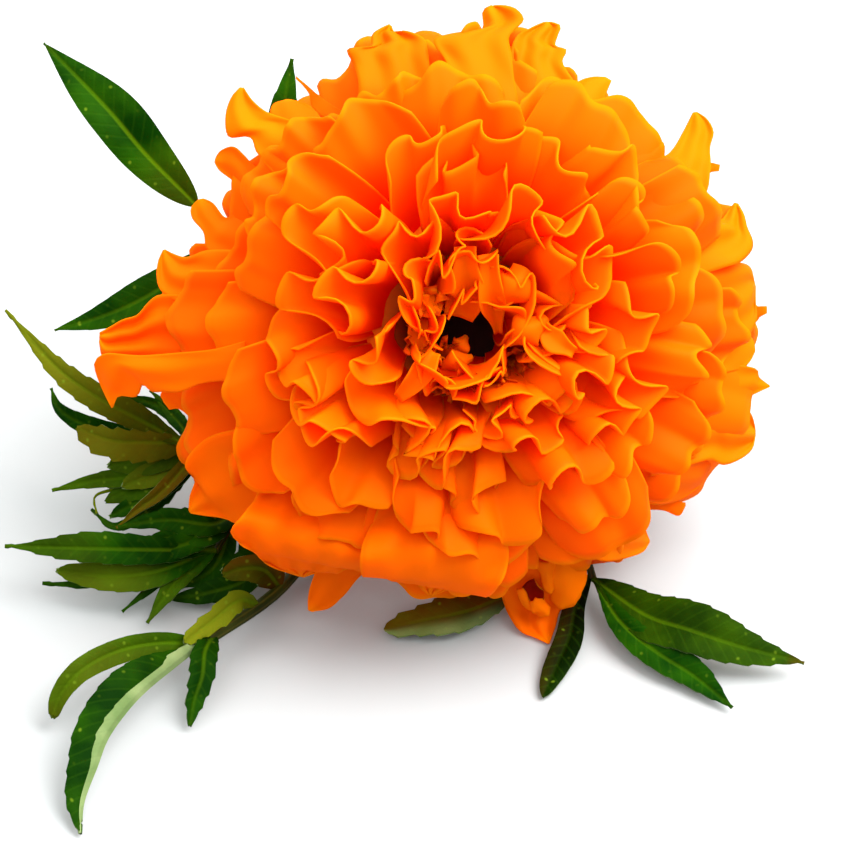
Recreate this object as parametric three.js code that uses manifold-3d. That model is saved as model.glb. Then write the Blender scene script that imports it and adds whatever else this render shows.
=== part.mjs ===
// A double orange marigold, cut with a short stem and its top leaves. It lies on a surface, with its
// ruffled face turned up towards the front and the stem running back behind it.
// Millimetres, +Z up. The surface is z = 0 and the bloom faces -Y. Pieces are worked out with the
// receptacle over x = y = 0, and MIDDLE then moves them, so that the origin is on the surface under
// the middle of the flower's box.
import * as THREE from "three";
import { mergeVertices } from "three/addons/utils/BufferGeometryUtils.js";
import Module from "manifold-3d";

const wasm = await Module();
wasm.setup();

const rad = THREE.MathUtils.degToRad;
const lerp = THREE.MathUtils.lerp;
const vec = (x, y, z) => new THREE.Vector3(x, y, z);

// Driving dimensions, in millimetres and degrees.
const MIDDLE = vec(8.7, -8.5, 0);
const HEIGHT = 30.3; // of the receptacle, where all petals spring from
const TILT = 36; // the bloom's axis rises this far above the surface
const SIGHT = { azimuth: -6, elevation: 42, distance: 600 }; // from where leaf places were judged
const BLADE = 0.6; // thickness of petals and leaflets
const CLEAR = 0.35; // gap between neighbouring pieces

const BLOOM = {
  petals: 66,
  spiral: 137.508,
  rootRadius: 16,
  craterRadius: 4.5,
  openOuter: 99,
  openInner: 13,
  rootOuter: 76,
  rootInner: 21,
  widthOuter: 8.6,
  widthInner: 3.4,
  ruffle: 2.2,
  underside: 3.3,
};
const HEART = { florets: 9, floor: 11.35, radius: 3.5, top: 18.5 };
const CALYX = { top: -3.1, length: 19, topRadius: 10, teeth: 9 };
const STEM = { neckRadius: 3, endRadius: 2.05, ridges: 6 };

// The rim's outline: azimuth in the bloom's face, and how far the petals there reach.
const RIM = [
  [-12, 37],
  [15, 35.5],
  [37, 36.5],
  [53, 32.5],
  [77, 36],
  [91, 32.8],
  [117, 33.7],
  [142, 36],
  [157, 34],
  [175, 36],
  [200, 36],
  [214, 37.5],
  [237, 36],
  [252, 34.4],
  [266, 33.4],
  [287, 35.5],
  [313, 36],
  [348, 37],
];

// Petals that stand out of the rim. Two of them are the feet that the bloom rests on, and their
// plainer tips lie flat on the surface.
const FOOT = { foot: true, round: 0.02, lobe: 0, ruffle: 0.4, cup: 0, twist: 0 };
const LONG_PETALS = [
  { azimuth: 190, open: 92, reach: 44, halfWidth: 6.4, least: 3 },
  { azimuth: 214, open: 93, reach: 39.5, halfWidth: 8.5, least: 3 },
  { azimuth: 227, open: 90, reach: 38.5, halfWidth: 8, least: 3 },
  { azimuth: 242, open: 97, reach: 42.4, halfWidth: 5.4, least: 0.2, ...FOOT, taper: 0.4 },
  { azimuth: 280.8, open: 88, reach: 44.4, halfWidth: 6.2, least: 0.2, ...FOOT, taper: 0.65 },
  { azimuth: 297, open: 92, reach: 37, halfWidth: 8, least: 3 },
  { azimuth: -12, open: 91, reach: 38, halfWidth: 8.5, least: 3 },
  { azimuth: 37, open: 92, reach: 37.6, halfWidth: 8.5, least: 3 },
  { azimuth: 77, open: 91, reach: 37, halfWidth: 8.5, least: 3 },
  { azimuth: 142, open: 91, reach: 38, halfWidth: 7, least: 3 },
];

// Where a petal's grid has its rows from root to tip, and its columns from edge to edge.
const STATIONS = [0, 0.42, 0.78, 1];
const FOOT_STATIONS = [0, 0.4, 0.75, 0.88, 1];
const FRILL_STATIONS = [0, 0.66, 1];
const COLUMNS = [-1, -0.55, 0, 0.55, 1];
const FRILL_COLUMNS = [-1, -0.7, -0.36, 0, 0.36, 0.7, 1];

// Seeded draws, so that every build gives the same flower.
function drawer(seed) {
  let state = seed;
  return (low, high) => {
    state = (state + 0x6d2b79f5) | 0;
    let t = Math.imul(state ^ (state >>> 15), 1 | state);
    t = (t + Math.imul(t ^ (t >>> 7), 61 | t)) ^ t;
    return low + (high - low) * (((t ^ (t >>> 14)) >>> 0) / 4294967296);
  };
}

// Closed geometries in and out of the boolean library.
function solid(geometry) {
  const bare = geometry.clone();
  for (const name of ["normal", "uv"]) bare.deleteAttribute(name);
  const merged = mergeVertices(bare, 1e-4);
  const triVerts = new Uint32Array(merged.index.array);
  const vertProperties = merged.attributes.position.array;
  return new wasm.Manifold(new wasm.Mesh({ numProp: 3, vertProperties, triVerts }));
}

function geometryOf(manifold) {
  const { vertProperties, triVerts } = manifold.getMesh();
  return new THREE.BufferGeometry()
    .setAttribute("position", new THREE.BufferAttribute(vertProperties, 3))
    .setIndex(new THREE.BufferAttribute(triVerts, 1));
}

// The largest body of a union: loose scraps go, and pockets sealed inside are filled.
function wholeBody(solids) {
  const bodies = wasm.Manifold.union(solids).decompose();
  return bodies.reduce((best, body) => (body.volume() > best.volume() ? body : best));
}

// Cuts off what would go below the surface.
function aboveSurface(body) {
  const ground = new THREE.BoxGeometry(400, 400, 40).translate(0, 0, -20);
  return wholeBody([body.subtract(solid(ground))]);
}

// The flower's own frame: +Z out of the face, +Y up the face, turned to lie on the surface.
const flower = new THREE.Matrix4().makeRotationX(rad(90 - TILT)).setPosition(0, 0, HEIGHT);
const unflower = flower.clone().invert();

// Where something seen from the front lies, given its height. Right and up are measured from the
// receptacle, in the plane through it that faces the eye.
const sightAzimuth = rad(SIGHT.azimuth);
const sightElevation = rad(SIGHT.elevation);
const receptacle = vec(0, 0, HEIGHT);
const towardsEye = vec(
  Math.sin(sightAzimuth) * Math.cos(sightElevation),
  -Math.cos(sightAzimuth) * Math.cos(sightElevation),
  Math.sin(sightElevation),
);
const sightRight = vec(Math.cos(sightAzimuth), Math.sin(sightAzimuth), 0);
const sightUp = towardsEye.clone().cross(sightRight);

function seen(right, up, height) {
  const eye = receptacle.clone().addScaledVector(towardsEye, SIGHT.distance);
  const aim = receptacle.clone().addScaledVector(sightRight, right).addScaledVector(sightUp, up);
  return aim.clone().lerp(eye, (height - aim.z) / (eye.z - aim.z));
}

// A thin blade round a grid of middle points, rows from root to tip. Both faces are split alike.
function blade(rows, thickness) {
  const last = rows.length - 1;
  const wide = rows[0].length - 1;
  const at = (i, j) => rows[THREE.MathUtils.clamp(i, 0, last)][THREE.MathUtils.clamp(j, 0, wide)];
  const points = [];
  for (const side of [0.5, -0.5])
    for (let i = 0; i <= last; i++)
      for (let j = 0; j <= wide; j++) {
        const along = at(i + 1, j).clone().sub(at(i - 1, j));
        const across = at(i, j + 1).clone().sub(at(i, j - 1));
        const normal = across.cross(along).normalize();
        points.push(at(i, j).clone().addScaledVector(normal, side * thickness));
      }
  const index = [];
  const quad = (a, b, c, d) => index.push(a, b, c, a, c, d);
  const front = (i, j) => i * (wide + 1) + j;
  const back = (i, j) => front(i, j) + (last + 1) * (wide + 1);
  for (let i = 0; i < last; i++)
    for (let j = 0; j < wide; j++) {
      quad(front(i, j), front(i, j + 1), front(i + 1, j + 1), front(i + 1, j));
      index.push(back(i, j), back(i + 1, j + 1), back(i, j + 1));
      index.push(back(i, j), back(i + 1, j), back(i + 1, j + 1));
    }
  for (let i = 0; i < last; i++) {
    quad(front(i, 0), front(i + 1, 0), back(i + 1, 0), back(i, 0));
    quad(front(i + 1, wide), front(i, wide), back(i, wide), back(i + 1, wide));
  }
  for (let j = 0; j < wide; j++) {
    quad(front(0, j + 1), front(0, j), back(0, j), back(0, j + 1));
    quad(front(last, j), front(last, j + 1), back(last, j + 1), back(last, j));
  }
  const made = solid(new THREE.BufferGeometry().setFromPoints(points).setIndex(index));
  if (made.volume() <= 0) throw new Error("a blade is inside out");
  return made;
}

// A tube along a smooth path, that tapers. Every other corner can stand out as a ridge.
function tube(path, fromRadius, toRadius, sides, steps, ridge = 0) {
  const curve = new THREE.CatmullRomCurve3(path);
  const corners = Array.from({ length: sides }, (_, k) => {
    const turn = (2 * Math.PI * k) / sides;
    const radius = fromRadius * (k % 2 ? 1 - ridge : 1 + ridge);
    return new THREE.Vector2(radius * Math.cos(turn), radius * Math.sin(turn));
  });
  const settings = { steps, extrudePath: curve, bevelEnabled: false };
  const geometry = new THREE.ExtrudeGeometry(new THREE.Shape(corners), settings);
  const centres = curve.getSpacedPoints(steps);
  const { position } = geometry.attributes;
  for (let n = 0; n < position.count; n++) {
    const point = vec().fromBufferAttribute(position, n);
    const distances = centres.map((centre) => centre.distanceTo(point));
    const nearest = distances.indexOf(Math.min(...distances));
    const taper = lerp(1, toRadius / fromRadius, nearest / steps);
    point.sub(centres[nearest]).multiplyScalar(taper).add(centres[nearest]);
    position.setXYZ(n, ...point);
  }
  return solid(geometry);
}

// A solid of revolution round the flower's axis, from pairs of radius and height.
function turned(profile, sides) {
  const outline = [...profile, profile[0]].map(([radius, height]) => new THREE.Vector2(radius, height));
  const lathe = new THREE.LatheGeometry(outline, sides);
  return solid(lathe.rotateX(Math.PI / 2));
}

// Keeps a middle point above the surface, easing it off as it comes down.
function liftedOffSurface(local, least) {
  const ease = 0.25;
  const world = local.clone().applyMatrix4(flower);
  const over = (world.z - least) / ease;
  if (over < 6) world.z = least + ease * Math.log(1 + Math.exp(over));
  return world.applyMatrix4(unflower);
}

// How far ordinary petals reach: on a dome over the receptacle, with the rim's own outline.
function bloomReach(open, azimuth) {
  const turn = ((azimuth + 12) % 360) - 12;
  const rim = [...RIM, [348, RIM[0][1]]];
  const next = rim.findIndex(([at]) => at > turn);
  const [fromAt, fromReach] = rim[next - 1];
  const [toAt, toReach] = rim[next];
  const outline = lerp(fromReach, toReach, (turn - fromAt) / (toAt - fromAt));
  const dome = lerp(14.5, 35.5, Math.sin(rad(Math.min(open, 90))) ** 0.5);
  return dome * lerp(1, outline / 35.5, THREE.MathUtils.smoothstep(open, 50, 85));
}

// A point of a petal. along runs from root to tip, across from -1 to 1.
function petalPoint(petal, along, across) {
  const notch = petal.round * Math.abs(across) ** 2.6 + petal.lobe * Math.cos(7 * across);
  const rounding = 1 - notch * along;
  const r = lerp(BLOOM.rootRadius, petal.reach * rounding, along);
  const bend = ((r - BLOOM.rootRadius) / (petal.reach - BLOOM.rootRadius)) ** 1.4;
  const ruffle = petal.ruffle * along ** 1.5 * Math.sin(petal.waves * Math.PI * across + petal.phase);
  const cup = petal.cup * across * across * along;
  const open = rad(lerp(petal.rootOpen, petal.open, bend)) + (ruffle - cup) / r;
  const radius = Math.max(r * Math.sin(open), BLOOM.craterRadius);
  const profile = Math.sin(Math.PI * (0.2 + 0.42 * along)) ** 1.2 * (1 - petal.taper * along ** 3);
  const spread = (petal.halfWidth * profile * across) / radius;
  const azimuth = rad(petal.azimuth) + spread + petal.twist * across * along * 0.1;
  const point = vec(radius * Math.cos(azimuth), radius * Math.sin(azimuth), r * Math.cos(open));
  return liftedOffSurface(point, petal.least);
}

// The petals: a spiral of layers from the drooping rim to the lip of the centre.
function petals() {
  const draw = drawer(7);
  const ordinary = Array.from({ length: BLOOM.petals }, (_, i) => {
    const share = 1 - (1 - (i + 0.5) / BLOOM.petals) ** 1.5;
    const outer = Math.cos(rad(BLOOM.openOuter));
    const inner = Math.cos(rad(BLOOM.openInner));
    const open = THREE.MathUtils.radToDeg(Math.acos(lerp(outer, inner, share)));
    const azimuth = (i * BLOOM.spiral + draw(-5, 5) + 360) % 360;
    const reach = bloomReach(open, azimuth) * draw(0.95, 1.02);
    return { azimuth, open: open + draw(-2, 2), reach, least: BLOOM.underside + 0.02 * i };
  });
  return [...LONG_PETALS, ...ordinary].map((petal) => {
    const rim = (petal.open - BLOOM.openInner) / (BLOOM.openOuter - BLOOM.openInner);
    const width = lerp(BLOOM.widthInner, BLOOM.widthOuter, Math.max(rim, 0) ** 0.8);
    return {
      halfWidth: width * draw(0.9, 1.1),
      rootOpen: lerp(BLOOM.rootInner, BLOOM.rootOuter, rim),
      cup: draw(-0.5, 1) * lerp(2.2, 1.2, rim),
      frilled: rim < 0.62,
      ruffle: draw(0.7, 1.1) * BLOOM.ruffle * (rim < 0.62 ? lerp(0.55, 1, rim / 0.62) : 0.4),
      lobe: draw(0, 0.03),
      taper: 0,
      round: rim < 0.62 ? 0.07 : 0.14,
      waves: (rim < 0.62 ? 1.5 : 1) + Math.round(draw(0, 1)) * 0.5,
      phase: draw(0, 2 * Math.PI),
      twist: draw(-1, 1),
      ...petal,
    };
  });
}

function bloomSolid() {
  const core = turned(
    [
      [0, CALYX.top + CLEAR],
      [8.2, CALYX.top + CLEAR],
      [9.2, 0],
      [16, 3],
      [18.3, 8],
      [15.5, 14.5],
      [9.5, 17],
      [6.2, 15.5],
      [5.3, 11.6],
      [0, 11],
    ],
    16,
  );
  const blades = petals().map((petal) => {
    const stations = petal.foot ? FOOT_STATIONS : petal.frilled ? FRILL_STATIONS : STATIONS;
    const columns = petal.frilled ? FRILL_COLUMNS : COLUMNS;
    const rows = stations.map((along) => columns.map((across) => petalPoint(petal, along, across)));
    return blade(rows, BLADE);
  });
  return aboveSurface(wholeBody([core, ...blades]).transform(flower.elements));
}

// Young florets, folded upwards on a small cushion in the hollow centre.
function heartSolid() {
  const draw = drawer(3);
  const cushion = turned(
    [
      [0, HEART.floor],
      [4.5, HEART.floor + 0.6],
      [4.3, HEART.floor + 1.9],
      [2.4, HEART.floor + 3],
      [0, HEART.floor + 3.3],
    ],
    12,
  );
  const florets = Array.from({ length: HEART.florets }, (_, i) => {
    const outward = Math.sqrt((i + 0.5) / HEART.florets);
    const azimuth = rad(i * BLOOM.spiral);
    const top = HEART.top - draw(0, 2.6) - 1.5 * (1 - outward);
    const half = draw(0.9, 1.3);
    const lean = draw(-0.5, 0.25);
    const rows = [0, 0.5, 0.85, 1].map((along) =>
      [-1, 0, 1].map((across) => {
        const radius = (HEART.radius - 0.7) * outward + lean * along + 0.5 * across * across;
        const side = half * across * [0.6, 0.9, 1, 0.5][[0, 0.5, 0.85, 1].indexOf(along)];
        const height = lerp(HEART.floor + 1, top, along);
        return vec(radius, side, height).applyAxisAngle(vec(0, 0, 1), azimuth);
      }),
    );
    return blade(rows, BLADE);
  });
  return wholeBody([cushion, ...florets]).transform(flower.elements);
}

// The green cup under the petals, with its ring of teeth.
function calyxSolid() {
  const { top, length, topRadius, teeth } = CALYX;
  const cup = turned(
    [
      [0, top - length],
      [STEM.neckRadius + 0.4, top - length],
      [4.9, top - length + 1.6],
      [6.4, top - length + 5],
      [8.6, top - 8],
      [topRadius, top - 2.4],
      [topRadius + 0.1, top],
      [0, top],
    ],
    18,
  );
  const tooth = new THREE.ConeGeometry(2, 5.6, 5).scale(1, 1, 0.3).rotateX(Math.PI / 2);
  tooth.translate(0, -topRadius + 0.3, top);
  const crown = Array.from({ length: teeth }, (_, i) =>
    solid(tooth.clone().rotateZ((2 * Math.PI * (i + 0.5)) / teeth)),
  );
  return wholeBody([cup, ...crown]).transform(flower.elements);
}

// The stem leaves the cup along the bloom's axis and comes down to lie on the surface.
const neck = vec(0, 0, CALYX.top - CALYX.length - CLEAR - 0.25).applyMatrix4(flower);
const stemPath = [
  neck,
  vec(0, 27, 12),
  vec(0, 36, 6.6),
  vec(0, 46, 3.4),
  vec(0, 58, 2.1),
  vec(0, 70, 2),
];

function stemSolid() {
  const { neckRadius, endRadius, ridges } = STEM;
  return aboveSurface(tube(stemPath, neckRadius, endRadius, 2 * ridges, 12, 0.05));
}

// The first two points of a leaf stalk, that springs from the left or right side of the stem at y.
function fromStem(y, side) {
  const places = new THREE.CatmullRomCurve3(stemPath).getSpacedPoints(400);
  const nearest = places.findIndex((place) => place.y >= y);
  const out = lerp(STEM.neckRadius, STEM.endRadius, nearest / 400) * 1.05 + CLEAR;
  return [out, out + 2].map((distance) => places[nearest].clone().add(vec(side * distance, 0, 0)));
}

// A leaflet along a smooth path: lance-shaped, toothed, slightly folded along its midrib. It faces
// the eye, or the sky as flat nears 1, and turns by its twist towards the tip, in degrees.
function leaflet(path, { half, flat = 0.3, twist = 0, fold = 0.22 }) {
  const steps = half > 2.4 ? 9 : half > 1.8 ? 7 : 5;
  const curve = new THREE.CatmullRomCurve3(path);
  const facing = towardsEye.clone().lerp(vec(0, 0, 1), flat);
  const rows = [];
  for (let k = 0; k <= steps; k++) {
    const along = k / steps;
    const tangent = curve.getTangentAt(along);
    const across = tangent.clone().cross(facing).normalize();
    across.applyAxisAngle(tangent, rad(twist * along));
    const raised = across.clone().cross(tangent).normalize();
    const tooth = k % 2 ? 1.1 : 0.88;
    const width = Math.max(half * Math.sin(Math.PI * along ** 0.8) ** 0.75 * tooth, 0.22);
    rows.push(
      [-1, 0, 1].map((side) => {
        const point = curve.getPointAt(along).addScaledVector(across, side * width);
        point.addScaledVector(raised, Math.abs(side) * fold * width);
        point.z = Math.max(point.z, BLADE / 2 + 0.02);
        return point;
      }),
    );
  }
  return blade(rows, BLADE);
}

function leafSolid({ stalk, leaflets }) {
  const curve = new THREE.CatmullRomCurve3(stalk);
  const blades = leaflets.map(({ at, to, ...shape }) =>
    leaflet([curve.getPointAt(at), ...to], shape),
  );
  const leaf = wasm.Manifold.union([tube(stalk, 0.9, 0.5, 6, 9), ...blades]);
  const loose = leaf.decompose().filter((body) => body.volume() > 1);
  if (loose.length > 1) throw new Error("a leaflet misses its stalk");
  return aboveSurface(wholeBody([leaf]));
}

const LEAVES = {
  leaf_1: {
    stalk: [...fromStem(30, -1), vec(-14, 26, 20), seen(-24, 7, 29.5), seen(-31.5, 12.6, 34.5)],
    leaflets: [
      { at: 1, to: [seen(-40, 22, 44), seen(-49.4, 31.7, 51)], half: 3.4 },
      { at: 0.86, to: [seen(-38, 3, 28), seen(-48, -2.8, 25)], half: 2.3 },
      { at: 0.8, to: [seen(-25, 20, 41), seen(-19.8, 30, 48)], half: 1.8 },
      { at: 0.5, to: [vec(-17, 32, 22), vec(-20, 38, 20)], half: 1.7 },
      { at: 0.3, to: [vec(-10, 35, 13), vec(-14, 41, 11)], half: 1.7 },
    ],
  },
  leaf_2: {
    stalk: [...fromStem(33, -1), vec(-14, 19, 9), vec(-25, 8, 10), seen(-32, -16.5, 12)],
    leaflets: [
      { at: 1, to: [seen(-41, -10.5, 18), seen(-53.8, -0.4, 25)], half: 2.2 },
      { at: 0.98, to: [seen(-43, -13, 15), seen(-48.6, -10.2, 18)], half: 1.6 },
      { at: 0.96, to: [seen(-40, -16, 11), seen(-47, -14.6, 12)], half: 2.2 },
      { at: 0.92, to: [seen(-40, -20, 9), seen(-48.4, -21.8, 8)], half: 1.8 },
      { at: 0.88, to: [seen(-35, -22, 8), seen(-40.8, -26.4, 6)], half: 1.5 },
      { at: 0.9, to: [seen(-35, -19.5, 9), seen(-41, -22, 9)], half: 2.8 },
      { at: 0.5, to: [vec(-20, 26, 9), vec(-25, 32, 5)], half: 1.7 },
      { at: 0.66, to: [vec(-29, 17, 12), vec(-36, 21, 12)], half: 1.6 },
    ],
  },
  leaf_3: {
    stalk: [...fromStem(52, -1), vec(-16, 26, 4.2), vec(-24, 2, 5), seen(-29, -28.8, 4.6)],
    leaflets: [
      { at: 1, to: [seen(-41, -27.6, 8), seen(-54, -28.8, 8)], half: 2.1 },
      { at: 0.99, to: [seen(-38, -30.4, 5), seen(-47, -31.6, 5)], half: 2.5 },
      { at: 0.97, to: [seen(-40, -33, 2.5), seen(-50, -33.2, 2.2)], half: 1.2 },
      { at: 0.95, to: [seen(-32.5, -34, 2.6), seen(-35.6, -36.4, 1.2)], half: 1.2 },
      { at: 0.98, to: [seen(-35, -33, 3), seen(-39.6, -36, 1.6)], half: 1.2 },
      { at: 0.5, to: [vec(-23, 20, 3.5), vec(-29, 22, 2)], half: 1.6 },
    ],
  },
  leaf_4: {
    stalk: [
      ...fromStem(42, -1),
      vec(-8, 26, 2.4),
      vec(-11, 8, 2.4),
      seen(-20.5, -32.5, 2.6),
      seen(-30.6, -40, 3),
    ],
    leaflets: [
      {
        at: 1,
        to: [seen(-37, -39, 5), seen(-43, -40.8, 6), seen(-46.8, -44.4, 4.5), seen(-48, -49, 2)],
        half: 1.5,
        twist: 25,
      },
      {
        at: 0.985,
        to: [seen(-39, -43, 5), seen(-43.4, -47, 5.5), seen(-45.6, -54, 4), seen(-45, -63, 0.8)],
        half: 2.2,
        flat: 0,
        fold: 0.35,
      },
      {
        at: 0.975,
        to: [seen(-28.8, -43, 4), seen(-31, -46.5, 3.5), seen(-31.6, -49.8, 1.2)],
        half: 1.5,
        twist: -50,
      },
      { at: 0.88, to: [seen(-28, -35.5, 5), seen(-33, -40.2, 5)], half: 1.6, flat: 0 },
      { at: 0.83, to: [seen(-24.5, -30.8, 5.5), seen(-26.6, -33.8, 5)], half: 1.3, flat: 0 },
    ],
  },
  leaf_5: {
    stalk: [...fromStem(36, 1), vec(9, 18, 5), vec(13, -2, 2.4), seen(16.4, -32, 2)],
    leaflets: [
      { at: 1, to: [seen(28, -36, 4), seen(42, -42, 2.6)], half: 2.6, flat: 0.5 },
      { at: 0.99, to: [seen(25, -40, 2.6), seen(33.6, -47.4, 0.9)], half: 1.8, flat: 0.5 },
      {
        at: 0.98,
        to: [seen(15.8, -37.5, 1.0), seen(14.8, -41, 0.6), seen(10.4, -46.4, 0.5)],
        half: 1.55,
        flat: 0.7,
      },
      { at: 0.5, to: [vec(19, 14, 4.5), vec(28, 13, 3)], half: 1.9 },
      { at: 0.4, to: [vec(10, 25, 6), vec(16, 32, 3)], half: 1.7 },
    ],
  },
  leaf_6: {
    stalk: [...fromStem(48, 1), vec(6, 26, 2), vec(6.5, 2, 1.6), seen(7, -33.6, 1.5)],
    leaflets: [
      { at: 1, to: [seen(0, -36.6, 1.6), seen(-8.4, -38.8, 1)], half: 1.9, flat: 0.75 },
      { at: 0.45, to: [vec(12, 24, 2), vec(18, 30, 1.2)], half: 1.6, flat: 0.8 },
    ],
  },
};

const GREEN = 0x3c5a1e;
const pieces = [
  ["bloom", bloomSolid(), 0xff7a00],
  ["heart", heartSolid(), 0xc85000],
  ["calyx", calyxSolid(), 0x5f7d2c],
  ["stem", stemSolid(), 0x62802f],
  ...Object.entries(LEAVES).map(([name, leaf]) => [name, leafSolid(leaf), GREEN]),
];

const root = new THREE.Group();
root.position.copy(MIDDLE);
for (const [name, body, color] of pieces) {
  const material = new THREE.MeshStandardMaterial({ color, roughness: 0.6, metalness: 0 });
  const mesh = new THREE.Mesh(geometryOf(body), material);
  mesh.name = name;
  root.add(mesh);
}
export default root;
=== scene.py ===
"""A double orange marigold, cut and laid on its side: petals, leaves, cup and stem with their finishes."""
import math
import random

import bpy
from mathutils import Matrix, Vector


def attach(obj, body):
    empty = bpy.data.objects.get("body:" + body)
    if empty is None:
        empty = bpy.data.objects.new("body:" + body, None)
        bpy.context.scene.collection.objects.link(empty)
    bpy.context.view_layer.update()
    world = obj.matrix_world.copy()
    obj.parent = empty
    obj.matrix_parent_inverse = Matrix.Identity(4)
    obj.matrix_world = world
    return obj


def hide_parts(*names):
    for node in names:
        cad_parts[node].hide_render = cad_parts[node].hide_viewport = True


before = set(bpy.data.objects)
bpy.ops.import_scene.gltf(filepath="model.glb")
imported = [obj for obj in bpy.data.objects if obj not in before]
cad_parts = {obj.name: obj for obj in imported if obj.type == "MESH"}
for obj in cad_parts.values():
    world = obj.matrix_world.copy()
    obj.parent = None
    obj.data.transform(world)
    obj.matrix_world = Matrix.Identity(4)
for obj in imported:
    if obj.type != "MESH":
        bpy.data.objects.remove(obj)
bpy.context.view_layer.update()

MM = 0.001

# The bloom's own place: its receptacle, from which all petals spring, and the lean of its axis.
RECEPTACLE = Vector((8.7, -8.5, 30.3))
AXIS_TURN = math.radians(54)
FLOWER = Matrix.Translation(RECEPTACLE) @ Matrix.Rotation(AXIS_TURN, 4, "X")

# The view of the photograph: from a little left of the bloom's face and from above.
SIGHT_AZIMUTH = math.radians(-6)
SIGHT_ELEVATION = math.radians(42)
SIGHT_DISTANCE = 600
FIELD = 102
AIM = (-3.96, -13.56)
TOWARDS_EYE = Vector(
    (
        math.sin(SIGHT_AZIMUTH) * math.cos(SIGHT_ELEVATION),
        -math.cos(SIGHT_AZIMUTH) * math.cos(SIGHT_ELEVATION),
        math.sin(SIGHT_ELEVATION),
    )
)
SIGHT_RIGHT = Vector((math.cos(SIGHT_AZIMUTH), math.sin(SIGHT_AZIMUTH), 0))
SIGHT_UP = TOWARDS_EYE.cross(SIGHT_RIGHT)
EYE = RECEPTACLE + SIGHT_DISTANCE * TOWARDS_EYE


def seen(right, up, height):
    """The point at a height that the eye sees this far right of and above the receptacle, in mm."""
    through = RECEPTACLE + right * SIGHT_RIGHT + up * SIGHT_UP
    return through.lerp(EYE, (height - through.z) / (EYE.z - through.z))


def mix(a, b, share):
    return a + (b - a) * share


def smoothstep(value, low, high):
    share = min(max((value - low) / (high - low), 0), 1)
    return share * share * (3 - 2 * share)


def tint(code):
    """An sRGB hex value as linear colour."""
    channels = [int(code[i : i + 2], 16) / 255 for i in (1, 3, 5)]
    linear = [c / 12.92 if c <= 0.04045 else ((c + 0.055) / 1.055) ** 2.4 for c in channels]
    return (*linear, 1)


MATH = "ShaderNodeMath"
VECTOR_MATH = "ShaderNodeVectorMath"
SEPARATE = "ShaderNodeSeparateXYZ"
COMBINE = "ShaderNodeCombineXYZ"
MAP_RANGE = "ShaderNodeMapRange"
NOISE = "ShaderNodeTexNoise"
MIX = "ShaderNodeMix"
ATTRIBUTE = "ShaderNodeAttribute"
BUMP = "ShaderNodeBump"
GRID = "GeometryNodeMeshGrid"
POSITION = "GeometryNodeInputPosition"
SET_POSITION = "GeometryNodeSetPosition"
REALIZE = "GeometryNodeRealizeInstances"
MARK = "GeometryNodeInputNamedAttribute"
STORE = "GeometryNodeStoreNamedAttribute"
SMOOTH = {"interpolation_type": "SMOOTHSTEP"}
COLOURS = {"data_type": "RGBA"}
THREE = {"data_type": "FLOAT_VECTOR"}


def add(tree, kind, settings=None, inputs=None):
    """Adds a node with its settings, or its operation where they are a word, links or sets its
    inputs, and gives back its outputs. A hex value is set as linear colour."""
    node = tree.nodes.new(kind)
    if isinstance(settings, str):
        settings = {"operation": settings}
    for name, value in (settings or {}).items():
        setattr(node, name, value)
    pairs = inputs.items() if isinstance(inputs, dict) else enumerate(inputs or [])
    for key, value in pairs:
        if isinstance(value, bpy.types.NodeSocket):
            tree.links.new(value, node.inputs[key])
        elif isinstance(value, str) and value.startswith("#"):
            node.inputs[key].default_value = tint(value)
        elif value is not None:
            node.inputs[key].default_value = value
    return node.outputs


# Camera.
camera_data = bpy.data.cameras.new("camera")
camera_data.sensor_width = 36
camera_data.lens = 36 * SIGHT_DISTANCE / FIELD
camera_data.clip_end = 10
camera = bpy.data.objects.new("camera", camera_data)
camera.location = EYE * MM
aim = RECEPTACLE + AIM[0] * SIGHT_RIGHT + AIM[1] * SIGHT_UP
camera.rotation_euler = (aim - EYE).to_track_quat("-Z", "Y").to_euler()
bpy.context.scene.collection.objects.link(camera)
bpy.context.scene.camera = camera


def new_piece(name, mesh):
    piece = bpy.data.objects.new(name, mesh)
    bpy.context.scene.collection.objects.link(piece)
    return piece


def new_mesh(name, points, edges=(), faces=(), material=None, **marks):
    """A mesh. Each mark is an attribute that has a number, or three, for each point."""
    mesh = bpy.data.meshes.new(name)
    mesh.from_pydata(points, edges, faces)
    for title, values in marks.items():
        three = len(values) == 3 * len(points)
        mark = mesh.attributes.new(title, "FLOAT_VECTOR" if three else "FLOAT", "POINT")
        mark.data.foreach_set("vector" if three else "value", values)
    if material:
        mesh.shade_smooth()
        mesh.materials.append(material)
    return mesh


def new_tree(name, sizes, made):
    """A tree that grows something: with its named inputs, each of a kind and with its usual size."""
    tree = bpy.data.node_groups.new(name, "GeometryNodeTree")
    for title, (kind, value) in sizes.items():
        socket = tree.interface.new_socket(title, in_out="INPUT", socket_type="NodeSocket" + kind)
        if value is not None:
            socket.default_value = value
    tree.interface.new_socket(made, in_out="OUTPUT", socket_type="NodeSocketGeometry")
    return tree, add(tree, "NodeGroupInput")[: len(sizes)]


def end_tree(tree, geometry, material):
    geometry = add(tree, "GeometryNodeSetShadeSmooth", {}, {"Geometry": geometry})[0]
    geometry = add(tree, REALIZE, {}, [geometry])[0]
    geometry = add(tree, "GeometryNodeSetMaterial", {}, {"Geometry": geometry, "Material": material})[0]
    add(tree, "NodeGroupOutput", {}, [geometry])
    return tree


def new_material(name):
    material = bpy.data.materials.new(name)
    material.use_nodes = True
    material.node_tree.nodes.clear()
    return material, material.node_tree


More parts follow.
